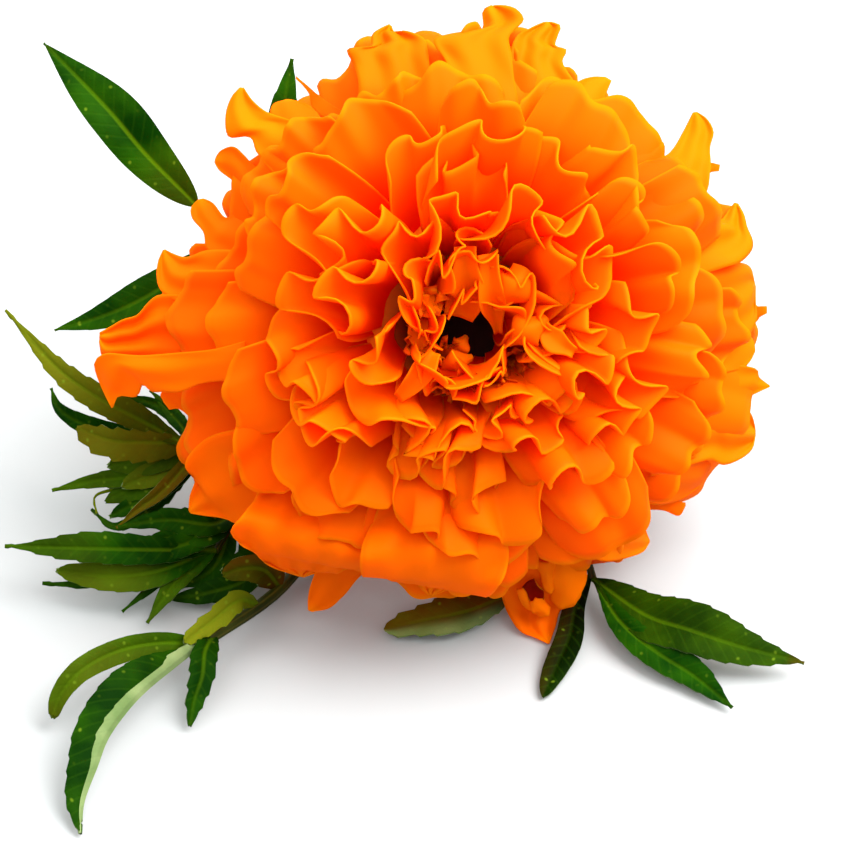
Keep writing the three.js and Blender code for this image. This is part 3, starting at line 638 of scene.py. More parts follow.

# Petals whose tips make the outline, the long one at the left and the two lowest ones. Each has the
# pixels of its two sides, from its foot to where they meet, and how high its foot, middle and tip are
# along the bloom's axis.
# Hues above 1 here are painted light: these thin petals are made yellower where light falls on and shines
# through them.
EDGE_PETALS = (
    # The top, from left to right.
    (((352, 120), (357, 88), (352, 66), (345, 51), (357, 49), (369, 48), (370, 36), (379, 29), (387, 25)),
     ((425, 120), (428, 80), (426, 55), (422, 40), (411, 34), (400, 32), (392, 34), (389, 27)),
     (8, 5, 1), {"hue": 1.1, "frill": (1.0, 2.2, 0.6)}),
    (((440, 120), (450, 85), (444, 62), (431, 40), (445, 35), (465, 32), (480, 30), (480, 18), (480, 10),
     (488, 6)),
     ((520, 120), (512, 80), (509, 55), (506, 38), (512, 30), (521, 20), (514, 10), (502, 6), (492, 6)),
     (12, 7, 1), {"hue": 1.35, "frill": (0.8, 1.7, 2.6)}),
    (((490, 125), (500, 85), (508, 50), (515, 35), (528, 28), (541, 22)),
     ((600, 125), (574, 84), (560, 62), (564, 50), (553, 46), (555, 36), (558, 26), (548, 22)),
     (10, 6, 1.4), {"hue": 1.5, "frill": (0.8, 2.0, 1.0)}),
    (((560, 125), (568, 97), (575, 82), (590, 76), (602, 76)),
     ((602, 150), (597, 115), (603, 95), (609, 80)),
     (9, 4, 1), {"hue": 1.8, "frill": (0.5, 1.2, 0)}),
    # The right side, from the top down.
    (((630, 185), (654, 160), (668, 151), (682, 129), (691, 111)),
     ((690, 225), (706, 187), (708, 172), (709, 162), (708, 145), (711, 130), (704, 117), (695, 111)),
     (9, 5, 1), {"hue": 1.8, "frill": (0.8, 1.6, 0.9)}),
    (((695, 158), (709, 161), (718, 163)),
     ((695, 178), (708, 171), (717, 169.5)),
     (3, 1.6, 1.4), {"hue": 1.8}),
    (((655, 215), (690, 202), (706, 210), (719, 218), (728, 207), (733, 201)),
     ((680, 280), (722, 266), (739, 260), (750, 248), (751, 240), (745, 225), (742, 213), (736, 202)),
     (11, 6, 1), {"hue": 1.6, "frill": (1.1, 1.8, 2.4)}),
    (((675, 262), (720, 262), (738, 261), (749, 266), (753, 281)),
     ((675, 345), (720, 340), (747, 333), (755, 318), (754, 300), (754, 284)),
     (11, 6, 0.6), {"hue": 1.2, "frill": (0.7, 2.4, 0)}),
    (((738, 299), (754, 304), (766, 304)),
     ((738, 322), (755, 317), (766, 311)),
     (2, 1.2, 1.2), {}),
    (((690, 335), (728, 335), (747, 333), (753, 340), (754, 348)),
     ((690, 370), (728, 370), (745, 364), (750, 358), (754, 350)),
     (8, 5, 2), {"hue": 2, "frill": (0.4, 1, 1.6)}),
    (((690, 360), (730, 362), (745, 364), (757, 368), (758, 374), (769, 383)),
     ((690, 405), (730, 403), (750, 394), (769, 385)),
     (8, 4, 1), {"hue": 1.3, "frill": (0.5, 1.4, 0.5)}),
    (((680, 395), (730, 399), (747, 407), (754, 420), (755, 430)),
     ((650, 475), (690, 463), (711, 458), (722, 463), (740, 457), (752, 446), (755, 433)),
     (10, 5, 0.6), {"hue": 1.6, "frill": (0.9, 2.0, 1)}),
    (((680, 450), (711, 462), (709, 470), (703, 481)),
     ((630, 500), (662, 503), (678, 499), (690, 492), (701, 483)),
     (9, 4, 0.6), {"frill": (0.6, 1.5, 2)}),
    (((655, 490), (676, 499), (686, 501)),
     ((645, 508), (665, 509), (680, 514), (686, 504)),
     (3, 1.4, 1.2), {}),
    (((615, 500), (640, 515), (646, 528), (650, 538)),
     ((575, 550), (606, 560), (630, 556), (645, 549), (650, 541)),
     (11, 6, 1), {"hue": 1.4, "frill": (0.6, 1.8, 1)}),
    # The left side, from the top down.
    (((350, 118), (320, 99), (306, 87), (294, 77)),
     ((335, 128), (311, 108), (307, 95), (301, 87), (294, 80)),
     (3, 1, 1), {}),
    (((285, 155), (269, 122), (271, 106), (284, 101)),
     ((335, 140), (309, 108), (298, 103), (288, 101)),
     (6, 3, 0.6), {"frill": (0.4, 1.2, 1)}),
    (((285, 175), (256, 155), (249, 139), (238, 138), (227, 138), (224, 116), (230, 98), (238, 89)),
     ((320, 130), (285, 120), (265, 113), (251, 102), (242, 89)),
     (8, 4, 1), {"hue": 1.7, "frill": (0.8, 1.4, 2.2)}),
    (((290, 190), (254, 168), (243, 157), (231, 148), (218, 153), (214, 160)),
     ((280, 225), (246, 208), (240, 194), (231, 182), (217, 171), (213, 164)),
     (8, 4, 1), {"frill": (0.5, 1.4, 0.4)}),
    (((280, 235), (243, 212), (225, 219), (211, 204), (202, 200)),
     ((268, 268), (222, 258), (206, 251), (202, 233), (191, 219), (190, 209), (197, 201)),
     (8, 4, 1), {"frill": (0.5, 1.6, 0.8)}),
    (((255, 252), (206, 252), (186, 259), (174, 256), (164, 251)),
     ((250, 318), (196, 310), (168, 298), (159, 290), (156, 275), (158, 260), (162, 252)),
     (9, 5, 1), {"hue": 1.1, "frill": (0.7, 2.0, 0.4)}),
    (((262, 425), (206, 440), (185, 466), (195, 481), (190, 498), (189, 512)),
     ((300, 505), (262, 530), (240, 526), (222, 519), (204, 517), (191, 515)),
     (9, 5, 2), {"frill": (0.6, 1.8, 0.6)}),
    # The lower left, whose long rim is ruffled, and the broad smooth petal below the middle.
    (((272, 455), (255, 500), (240, 520), (231, 533), (240, 545), (255, 553), (262, 562), (282, 571),
     (300, 577)),
     ((375, 470), (378, 520), (372, 552), (362, 572), (350, 568), (338, 574), (322, 572), (304, 578)),
     (8, 15, 5.5), {"frill": (0.9, 3.6, 0.8), "cup": 0.4, "ruffle": (1.1, 4)}),
    (((395, 465), (376, 515), (362, 550), (364, 578), (376, 574), (394, 581), (412, 578), (423, 590),
     (430, 595)),
     ((468, 475), (492, 512), (509, 545), (508, 568), (499, 586), (487, 597), (467, 585), (447, 590),
      (434, 596)),
     (12, 18.5, 8.5), {"frill": (0.8, 3.4, 1.6), "cup": 0.4, "ruffle": (1.2, 3.3)}),
    # The small petal under the long one, the upper lobe of the long petal, and its lower lobe.
    (((215, 380), (175, 385), (160, 396), (163, 403)),
     ((235, 425), (195, 421), (178, 410), (169, 411)),
     (3, 1, 0), {}),
    (((240, 285), (190, 296), (157, 297), (148, 304), (137, 317), (122, 322), (110, 329), (99, 335)),
     ((240, 362), (180, 366), (125, 362), (102, 359), (99, 345)),
     (6, 4, 0.4), {"frill": (0.9, 2.5, 2.8)}),
    (((245, 342), (215, 350), (180, 354), (140, 357), (103, 356), (94, 364), (95, 374), (103, 394),
     (111, 410)),
     ((240, 380), (200, 385), (180, 393), (161, 393), (152, 393), (143, 386), (137, 398), (118, 398),
      (113, 409)),
     (13, 8, 2), {"hue": 1.3, "frill": (0.5, 1.6, 1.9), "cup": 0.8}),
    # The two lowest petals, whose tips lie on the floor.
    (((325, 555), (312, 584), (309, 600), (309, 611)),
     ((385, 560), (360, 578), (345, 596), (330, 609), (313, 613)),
     (4, 2, 1), {"frill": (0.4, 1.6, 1)}),
    (((490, 560), (502, 594), (510, 614), (522, 631), (538, 638), (549, 643)),
     ((590, 550), (584, 580), (580, 598), (562, 609), (557, 625), (551, 643)),
     (6, 2, 0), {"frill": (0.6, 2.2, 0.4)}),
)

# How low in mm a drawn point may lie, and how low a petal's lip may.
LEAST_HEIGHT = 0.4
LIP_HEIGHT = 0.15


def offset(x, y):
    """How far right of and above the receptacle a pixel of the photograph is, in mm."""
    return (x - RECEPTACLE_PIXEL[0]) * PIXEL, (RECEPTACLE_PIXEL[1] - y) * PIXEL


def pictured(x, y, height):
    """The point at a height in mm that is seen at a pixel."""
    return seen(*offset(x, y), height)


def over_bloom(x, y, rise):
    """The point seen at a pixel, this many mm along the bloom's axis, and no lower than the floor."""
    right, up = offset(x, y)
    through = right * SIGHT_RIGHT + up * SIGHT_UP
    ahead = EYE - RECEPTACLE - through
    spot = RECEPTACLE + through + ahead * (rise - through.dot(BLOOM_AXIS)) / ahead.dot(BLOOM_AXIS)
    return spot if spot.z > LEAST_HEIGHT else pictured(x, y, LEAST_HEIGHT)


def lamina_mesh(name, points, strips, columns, spans, hues, material):
    """A mesh of laminae that were put down point by point, in rows of the same length."""
    wide = columns + 1
    faces = []
    for first, rows in strips:
        for i in range(rows):
            for k in range(columns):
                a = first + i * wide + k
                faces.append((a, a + 1, a + wide + 1, a + wide))
    return new_mesh(name, points, faces=faces, material=material, span=spans, edge=hues)


# A petal narrower than this, in mm, is frilled less.
FRILLED_WIDTH = 6


def edge_petals_mesh(name, petals, material):
    """Petals that are each laid between two drawn sides. Their frills stand towards the eye."""
    points, spans, hues, strips = [], [], [], []
    rows, columns = 30, 20
    for left, right, rises, own in petals:
        sides = []
        for pixels in (left, right):
            lengths = [0]
            for a, b in zip(pixels, pixels[1:]):
                lengths.append(lengths[-1] + math.dist(a, b))
            route = []
            for (x, y), length in zip(pixels, lengths):
                share = length / lengths[-1]
                rise = mix(rises[0], rises[1], smoothstep(share, 0, 0.5))
                route.append(over_bloom(x, y, mix(rise, rises[2], smoothstep(share, 0.4, 1))))
            sides.append(Path(route))
        depth, waves, shift = own.get("frill", (0.2, 1, 0))
        ruffle, crests = own.get("ruffle", (0.35, 2.2))
        strips.append((len(points), rows))
        for i in range(rows + 1):
            along = i / rows
            a = sides[0].at(along)[0]
            b = sides[1].at(along)[0]
            held = min((b - a).length / FRILLED_WIDTH, 1) ** 1.4
            for k in range(columns + 1):
                across = 2 * k / columns - 1
                lift = depth * along * math.sin(waves * math.pi * across + shift + along)
                lift += own.get("cup", 0.3) * (1 - across * across) * math.sin(math.pi * along)
                edge = smoothstep(abs(across), 0.45, 1)
                lift += ruffle * edge * math.sin(crests * 6.28 * along + 2 * across)
                spot = a.lerp(b, k / columns) + TOWARDS_EYE * lift * held
                spot.z = max(spot.z, LIP_HEIGHT)
                points.append(spot * MM)
                spans.extend((across, mix(0.62, 1, along), 0))
                hues.extend((0, 0, own.get("hue", 0.8)))
    return lamina_mesh(name, points, strips, columns, spans, hues, material)


def ribbons_mesh(name, ribbons, material):
    """Narrow petals that are each laid along a drawn middle line."""
    draw = random.Random(11).uniform
    points, spans, hues, strips = [], [], [], []
    rows, columns = 16, 10
    for route, (start, middle, end), fold, own in ribbons:
        path = Path([over_bloom(*spot) for spot in route])
        rounding = own.get("rounding", 0)
        low, high = own.get("span", (0.7, 1))
        phase = draw(0, 6)
        strips.append((len(points), rows))
        for i in range(rows + 1):
            along = i / rows
            point, tangent = path.at(along)
            side = tangent.cross(TOWARDS_EYE).normalized()
            out = side.cross(tangent)
            closing = (1 - max((along - 1 + rounding) / rounding, 0) ** 2.5) ** 0.5 if rounding else 1
            half = mix(mix(start, middle, smoothstep(along, 0, 0.5)), end, smoothstep(along, 0.5, 1))
            for k in range(columns + 1):
                across = 2 * k / columns - 1
                wide = across * half * (1 + 0.1 * math.sin(9 * along + phase)) * mix(0.35, 1, closing)
                curve = fold * (abs(across) ** 1.5 - 0.4)
                lift = half * (curve + 0.16 * math.sin(8 * along + phase) * across)
                points.append((point + side * wide + out * lift) * MM)
                spans.extend((across, mix(low, high, along), 0))
                hues.extend((0, 0, own.get("hue", 0.8)))
    return lamina_mesh(name, points, strips, columns, spans, hues, material)


for name, petals_mesh, chosen in (
    ("folded_petals", ribbons_mesh, FOLDED_PETALS + ROLLED_PETALS),
    ("edge_petals", edge_petals_mesh, EDGE_PETALS),
):
    piece = grown(name, petals_mesh(name, chosen, petal_skin), thickness=PETAL_THICKNESS)
    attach(piece, "root")
    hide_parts("bloom")


# Rods: the stem and the leaf stalks. A tree gives a path its ribbed thickness.
def rod_tree():
    sizes = {
        "Paths": ("Geometry", None),
        "Sides": ("Int", 36),
        "Ribs": ("Float", 6.0),
        "Rib depth": ("Float", 0.05),
        "Material": ("Material", None),
    }
    tree, (paths, sides, ribs, rib_depth, material) = new_tree("rods", sizes, "Rods")
    curves = add(tree, "GeometryNodeMeshToCurve", {}, [paths])[0]
    ring = add(tree, "GeometryNodeCurvePrimitiveCircle", {}, {"Resolution": sides, "Radius": 1.0})[0]
    share = add(tree, "GeometryNodeSplineParameter")[0]
    wave = add(tree, MATH, "MULTIPLY", [share, 2 * math.pi])[0]
    wave = add(tree, MATH, "MULTIPLY", [wave, ribs])[0]
    wave = add(tree, MATH, "COSINE", [wave])[0]
    wave = add(tree, MATH, "MULTIPLY_ADD", [wave, rib_depth, 1.0])[0]
    spot = add(tree, POSITION)[0]
    spot = add(tree, VECTOR_MATH, "SCALE", {"Vector": spot, "Scale": wave})[0]
    ribbed = add(tree, SET_POSITION, {}, {"Geometry": ring, "Position": spot})[0]
    marked = add(
        tree,
        STORE,
        {"data_type": "FLOAT", "domain": "POINT"},
        {"Geometry": ribbed, "Name": "round", "Value": share},
    )[0]
    girth = add(tree, MARK, {"data_type": "FLOAT"}, {"Name": "girth"})[0]
    sweep = {"Curve": curves, "Profile Curve": marked, "Scale": girth, "Fill Caps": True}
    rods = add(tree, "GeometryNodeCurveToMesh", {}, sweep)[0]
    return end_tree(tree, rods, material)


def path_mesh(name, path, girths, steps):
    """The line that a rod follows, with its girth at each point, in metres."""
    shares = [k / steps for k in range(steps + 1)]
    points = [path.at(share)[0] * MM for share in shares]
    girth = [mix(*girths, share) * MM for share in shares]
    return new_mesh(name, points, [(k, k + 1) for k in range(steps)], girth=girth)


def near(x, y, z):
    """A point by its distance from the spot on the floor under the receptacle."""
    return Vector((x, y, z)) + Vector((RECEPTACLE.x, RECEPTACLE.y, 0))


CUP_FOOT = FLOWER @ Vector((0, 0, -21.8))
STEM_ROUTE = ((0, 27, 12), (0, 36, 6.6), (0, 46, 3.4), (0, 58, 2.3), (0, 70, 2.2))
STEM_PATH = Path([CUP_FOOT] + [near(*point) for point in STEM_ROUTE])
STEM_GIRTHS = (3, 2.05)
STEM_RIBS = 6.0

# Leaves. Each is a thin stalk with lance-shaped, toothed leaflets. The stalk starts this deep in the
# stem's side, and first leaves it straight outwards by this much.
STALK_ROOT = 0.2
STALK_OUT = 2.35
STALK_GIRTHS = (0.9, 0.45)
LEAF_THICKNESS = 0.32
MIDRIB_WIDTH = 0.1
MIDRIB_SWELLING = 1.5
UP = Vector((0, 0, 1))


def from_stem(y, side):
    """The first two points of a leaf stalk that springs from one side of the stem."""
    share = next(k / 400 for k in range(401) if STEM_PATH.at(k / 400)[0].y >= y + RECEPTACLE.y)
    out = mix(*STEM_GIRTHS, share) * 1.05
    place = STEM_PATH.at(share)[0]
    return [place + Vector((side * (out + more), 0, 0)) for more in (-STALK_ROOT, STALK_OUT)]


class Blades:
    """Collects leaflets as closed shells, with what their material reads."""

    def __init__(self):
        self.points, self.faces = [], []
        self.blade, self.tone, self.place = [], [], []

    def leaflet(
        self, path, half, flat=0.3, twist=0, fold=0.22, over=0, light=0, brown=0, pale=0, teeth=0.2,
        peak=0.45, root=0.8, blunt=1, sides=(1, 1), margin=0, flush=(-0.2, 0.6), tip=0, shade=0.15,
        sway=0.07, rib=0.45, seed=1,
    ):
        """One leaflet. flat turns it from the eye to the sky, twist turns its tip, fold raises its
        halves and over turns one of them over, in degrees. peak is where it is widest, root and blunt
        shape its ends, and teeth is their depth. What has two values is for the left and right half."""
        peaks, roots, blunts = (v if isinstance(v, tuple) else (v, v) for v in (peak, root, blunt))
        draw = random.Random(seed).uniform
        rows, columns = max(24, round(path.length * 2.4)), 10
        facing = TOWARDS_EYE.lerp(UP, flat)
        tooth_length = draw(2.0, 2.8)
        offsets = (draw(0, 1), draw(0, 1))
        wobble = (draw(0, 6.28), draw(0, 6.28), draw(0.7, 1.3))
        top, places, tones = [], [], []
        for i in range(rows + 1):
            along = i / rows
            point, tangent = path.at(along)
            across = tangent.cross(facing).normalized()
            across.rotate(Matrix.Rotation(math.radians(twist * along), 3, tangent))
            raised = across.cross(tangent).normalized()
            widths = []
            for top_at, power, ending, size, phase in zip(peaks, roots, blunts, sides, wobble):
                rise = math.sin(math.pi / 2 * min(along / top_at, 1)) ** power
                close = math.cos(math.pi / 2 * max((along - top_at) / (1 - top_at), 0))
                wave = 1 + sway * math.sin(9 * along * wobble[2] + phase)
                widths.append(half * size * rise * max(close, 0) ** ending * wave)
            for k in range(columns + 1):
                share = 2 * k / columns - 1
                side = share > 0
                width = widths[side]
                if abs(share) > 0.99:
                    saw = (along * path.length / tooth_length + offsets[side]) % 1
                    width += teeth * (saw - 0.5) * (0.3 + 0.7 * along) * min(width, 1)
                width = max(width, 0.3 * (1 - along) + 0.03)
                x = share * width
                # Each half bulges between the midrib and its margin.
                bulge = 0.09 * width * math.sin(math.pi * abs(share))
                lift = abs(x) * fold + bulge + 0.05 * half * math.sin(11 * along + wobble[0]) * abs(share)
                if over * share > 0:
                    turn = math.radians(abs(over)) * smoothstep(along, 0, 0.08)
                    x, lift = x * math.cos(turn), abs(x) * math.sin(turn) + bulge
                spot = point + across * x + raised * lift
                spot.z = max(spot.z, LEAF_THICKNESS / 2 + 0.03)
                top.append(spot)
                places.append((share * width, along * path.length, width, along))
                flushed = abs(margin) * smoothstep(math.copysign(share, share * margin), *flush)
                browned = max(brown, flushed, tip * smoothstep(along, 0.9, 1))
                # Painted shade: by shade, a leaflet darkens towards its base, near and under the bloom; a
                # negative shade darkens it towards its tip instead.
                lit = light - shade * (1 - smoothstep(along, 0, 0.7))
                tones.append((lit, browned, pale * (1 - browned) * smoothstep(along, 0, 0.5)))
        self.shell(top, places, tones, rib, rows, columns)

    def shell(self, top, places, tones, rib, rows, columns):
        """Gives a grid of points its thickness, and closes it."""
        wide = columns + 1
        normals = []
        for i in range(rows + 1):
            for k in range(wide):
                ahead = top[min(i + 1, rows) * wide + k] - top[max(i - 1, 0) * wide + k]
                normal = Vector()
                for j in (max(k - 1, 0), min(k, columns - 1)):
                    normal += (top[i * wide + j + 1] - top[i * wide + j]).cross(ahead).normalized()
                normals.append(normal.normalized())
        first = len(self.points)
        count = len(top)
        for way in (0.5, -0.5):
            for spot, normal, (aside, run, width, along), tone in zip(top, normals, places, tones):
                thin = LEAF_THICKNESS * (1 if abs(aside) > MIDRIB_WIDTH else MIDRIB_SWELLING)
                moved = spot + normal * way * thin
                moved.z = max(moved.z, 0.02)
                self.points.append(moved * MM)
                self.blade.extend((aside, run, width))
                self.tone.extend(tone)
                self.place.extend((0.5 - way, along, rib))
        for i in range(rows):
            for k in range(columns):
                a = first + i * wide + k
                self.faces.append((a, a + 1, a + wide + 1, a + wide))
                b = a + count
                self.faces.append((b, b + wide, b + wide + 1, b + 1))
        rim = [(0, k) for k in range(wide)] + [(i, columns) for i in range(1, rows + 1)]
        rim += [(rows, k) for k in range(columns - 1, -1, -1)] + [(i, 0) for i in range(rows - 1, 0, -1)]
        ring = [first + i * wide + k for i, k in rim]
        for a, b in zip(ring, ring[1:] + ring[:1]):
            self.faces.append((b, a, a + count, b + count))

    def mesh(self, name, material):
        marks = {"blade": self.blade, "tone": self.tone, "place": self.place}
        mesh = new_mesh(name, self.points, faces=self.faces, material=material, **marks)
        mesh.set_sharp_from_angle(angle=math.radians(62))
        return mesh


# For each leaf: its stalk's points, and its leaflets. A leaflet has the share of the stalk where it
# springs, its points, its half width, and what differs from a plain leaflet, such as how much lighter,
# browner or paler it is. Plain points are pixels of the photograph and a height. How light a leaflet is
# is partly its own tone and partly painted shade: the darkest leaflets, under and beside the bloom, and
# shade, which darkens a leaflet towards its base, are painted shade.
LEAVES = {
    "leaf_1": (
        [*from_stem(30, -1), near(-14, 26, 20), seen(-24, 7, 29.5), seen(-31.5, 12.6, 34.5)],
        (1, ((142, 154, 41.5), (108, 114, 46), (42, 46, 51)), 3.15,
         {"teeth": 0.02, "sway": 0.05, "root": 0.6, "light": -0.12, "rib": 0.9, "shade": -0.26}),
        (0.86, ((140, 302, 28), (98, 320, 26.5), (54, 332.5, 25)), 2.2,
         {"teeth": 0.06, "peak": 0.5, "light": -0.1}),
        (0.8, ((276, 160, 38), (283, 105, 44), (290, 60, 48)), 1.9, {"peak": 0.6}),
        (0.5, (near(-17, 32, 22), near(-20, 38, 20)), 1.7, {}),
        (0.3, (near(-10, 35, 13), near(-14, 41, 11)), 1.7, {}),
    ),
    "leaf_2": (
        [*from_stem(33, -1), near(-14, 19, 9), near(-25, 8, 10), seen(-32, -16.5, 12)],
        (1, ((150, 427, 14.5), (100, 401, 19), (60, 373, 22), (5, 313, 25)), 1.75,
         {"flat": 0.1, "light": 0.5, "brown": 0.3, "teeth": 0.4, "peak": 0.38, "blunt": 1.35,
          "shade": 0.5}),
        (0.98, ((172, 415, 12), (150, 392, 13)), 0.9, {"light": 0.05}),
        (0.98, ((160, 409, 12), (120, 397, 13)), 0.9, {"light": -0.2}),
        (0.98, ((120, 436, 11), (80, 425, 12.5), (58, 410, 14), (51, 391, 15)), 1.3,
         {"flat": 0.1, "teeth": 0.08, "light": -0.1, "peak": 0.6}),
        (0.96, ((145, 444, 13.4), (110, 442, 14.6), (77, 430, 15)), 2.0,
         {"flat": 0, "light": 0.42, "brown": 0.5, "teeth": 0.8, "peak": 0.6, "blunt": 0.6,
          "sides": (1.25, 0.75), "shade": 0.4}),
        (0.93, ((140, 476, 9.5), (90, 484, 8.5), (52, 493, 8)), 1.4, {"light": 0.12}),
        (0.95, ((150, 461, 10.8), (108, 468, 10)), 2.0, {"light": 0.15, "blunt": 0.5}),
        (0.94, ((160, 472, 10), (122, 489, 9)), 1.8, {"light": 0.3, "brown": 0.1, "blunt": 0.5}),
        (0.93, ((150, 480, 9), (106, 504, 7)), 2.1, {"light": 0.1, "blunt": 0.6}),
        (0.9, ((155, 493, 8), (110, 519, 6)), 1.7, {"light": -0.1, "blunt": 0.6}),
        (0.9, ((160, 495, 9.4), (138, 511, 8.8), (117, 530, 7)), 1.0,
         {"flat": 0.1, "light": 0.3, "brown": 0.8, "teeth": 0, "fold": 0.4}),
        (0.88, ((150, 512, 6), (116, 529, 5.4), (92, 512, 5)), 0.9, {"light": -0.15, "teeth": 0.5}),
        (0.93, ((120, 489, 7.6), (95, 499, 6.6), (97, 516, 5.6)), 0.3, {"light": 0.6}),
        (0.5, (near(-20, 26, 9), near(-25, 32, 5)), 1.7, {}),
        (0.66, (near(-29, 17, 12), near(-36, 21, 12)), 1.6, {}),
    ),
    "leaf_3": (
        [*from_stem(52, -1), near(-16, 26, 4.2), near(-24, 2, 5), seen(-29, -28.8, 4.6)],
        (1, ((150, 552, 7), (85, 551, 8), (5, 549, 8)), 2.0,
         {"light": 0.08, "teeth": 0.35, "peak": 0.5, "blunt": 1.2, "shade": 0.4}),
        (0.99, ((160, 573, 4.8), (110, 579, 4.6), (57, 573, 4.4)), 2.0,
         {"light": 0.28, "blunt": 0.55, "peak": 0.6, "shade": 0.5}),
        (0.97, ((120, 582, 3), (75, 587, 2.5), (43, 586, 2.2)), 0.9, {"teeth": 0.7}),
        (0.95, ((152, 590, 2.6), (123, 614, 1.2)), 0.8, {}),
        (0.98, ((175, 586, 3.6), (148, 625, 1.6)), 1.3, {"light": 0.12}),
        (0.93, ((195, 543, 6.4), (150, 556, 6.2), (110, 562, 6)), 1.5, {"shade": 0.4}),
        (0.92, ((208, 536, 6.6), (170, 540, 6.8), (132, 547, 7)), 1.4, {"shade": 0.5}),
        (0.9, ((212, 526, 7.4), (168, 522, 8), (118, 529, 8)), 1.6,
         {"light": -0.1, "shade": 0.5, "teeth": 0.5}),
        (0.93, ((214, 570, 3), (180, 590, 2)), 1.7, {"light": -0.2}),
        # These two lie under the bloom: their low light is painted shade.
        (0.88, ((250, 577, 3), (208, 595, 2), (168, 601, 1.2)), 1.8, {"light": -0.5, "blunt": 0.7}),
        (0.85, ((262, 552, 4.4), (222, 573, 3.2)), 2.1, {"light": -0.5, "blunt": 0.6}),
        (0.5, (near(-23, 20, 3.5), near(-29, 22, 2)), 1.6, {}),
    ),
    "leaf_4": (
        [*from_stem(42, -1), near(-8, 26, 2.4), near(-11, 8, 2.4), seen(-20.5, -32.5, 2.6),
         seen(-30.6, -40, 3)],
        (1, ((160, 645, 4.6), (120, 653, 5.6), (80, 675, 6), (61, 699, 4), (54, 721, 2)), 1.5,
         {"flat": 0.1, "light": 0.2, "margin": -0.1, "tip": 0.3, "root": 0.5, "blunt": 0.3, "teeth": 0.05}),
        (0.985, ((172, 671, 4.6), (148, 691, 5.2), (129, 711, 5.4), (108, 741, 4.6), (97, 770, 3.4),
         (84, 806, 1.6), (82, 837, 0.6)), 4.4,
         {"flat": 0, "fold": 0.08, "over": -166, "peak": (0.32, 0.5), "root": (0.5, 1.7),
          "blunt": (0.9, 0.8), "sides": (0.38, 1), "light": -0.26, "teeth": 0.3, "sway": 0.04}),
        (0.975, ((206, 653, 4), (203, 678, 3.4), (195, 702, 2.2), (191, 728, 1)), 1.6,
         {"flat": 0.1, "twist": -25, "root": 0.5, "blunt": 0.7, "light": -0.2, "teeth": 0.5}),
        (0.88, ((240, 602, 5.6), (214, 622, 5.2), (185, 645, 4.8)), 1.35,
         {"flat": 0, "light": 0.7, "brown": 0.15, "teeth": 0.6, "peak": 0.5, "blunt": 0.4, "shade": 0.4}),
        (0.83, ((264, 571, 6), (243, 570, 6.5), (224, 576, 6)), 1.9,
         {"flat": 0, "light": 0.1, "brown": 0.5, "margin": 0.9, "blunt": 0.5, "shade": 1.1}),
    ),
    "leaf_5": (
        [*from_stem(36, 1), near(9, 18, 5), near(13, -2, 2.4), seen(16.4, -32, 2)],
        (1, ((650, 616, 2.9), (690, 629, 3.4), (740, 645, 3.1), (806, 661, 2.4)), 3.4,
         {"flat": 0.5, "root": 0.8, "tip": 0.9, "light": -0.08, "brown": 0.1, "teeth": 0.35}),
        (0.99, ((622, 622, 2.4), (660, 653, 1.9), (695, 675, 1.3), (734, 706, 0.9)), 2.1,
         {"flat": 0.5, "peak": 0.65, "root": 1.2}),
        # This leaflet lies under the bloom: its light of -0.8 and its shade are painted shade.
        (0.98, ((577, 606, 1.4), (571, 636, 1.1), (560, 662, 0.8), (545, 697, 0.5)), 1.7,
         {"flat": 0.7, "light": -0.8, "margin": 0.15, "rib": 0.08, "blunt": 0.5, "teeth": 0.05, "peak": 0.6,
          "shade": 0.4}),
        (0.5, (near(19, 14, 4.5), near(28, 13, 3)), 1.9, {}),
        (0.4, (near(10, 25, 6), near(16, 32, 3)), 1.7, {}),
    ),
    "leaf_6": (
        [*from_stem(48, 1), near(6, 26, 2), near(6.5, 2, 1.6), seen(7, -33.6, 1.5)],
        (1, ((470, 612, 1.7), (425, 622, 1.5), (386, 631, 1.1)), 2.7,
         {"flat": 0.75, "light": 0.55, "brown": 0.1, "pale": 0.6, "margin": 1, "flush": (-0.85, 0.1),
          "blunt": 0.5, "peak": 0.5, "sides": (1, 0.9), "teeth": 0.6, "shade": 1.2}),
        (0.45, (near(12, 24, 2), near(18, 30, 1.2)), 1.6, {"flat": 0.8}),
    ),
}
OWN_GIRTHS = {"leaf_4": (1, 0.7)}


# Sizes on a leaflet, in mm: from side vein to side vein, from gland to gland, and from a gland to
# the margin.
VEIN_GAP = 1.7
GLAND_GAP = 4.0
GLAND_INSET = 0.7


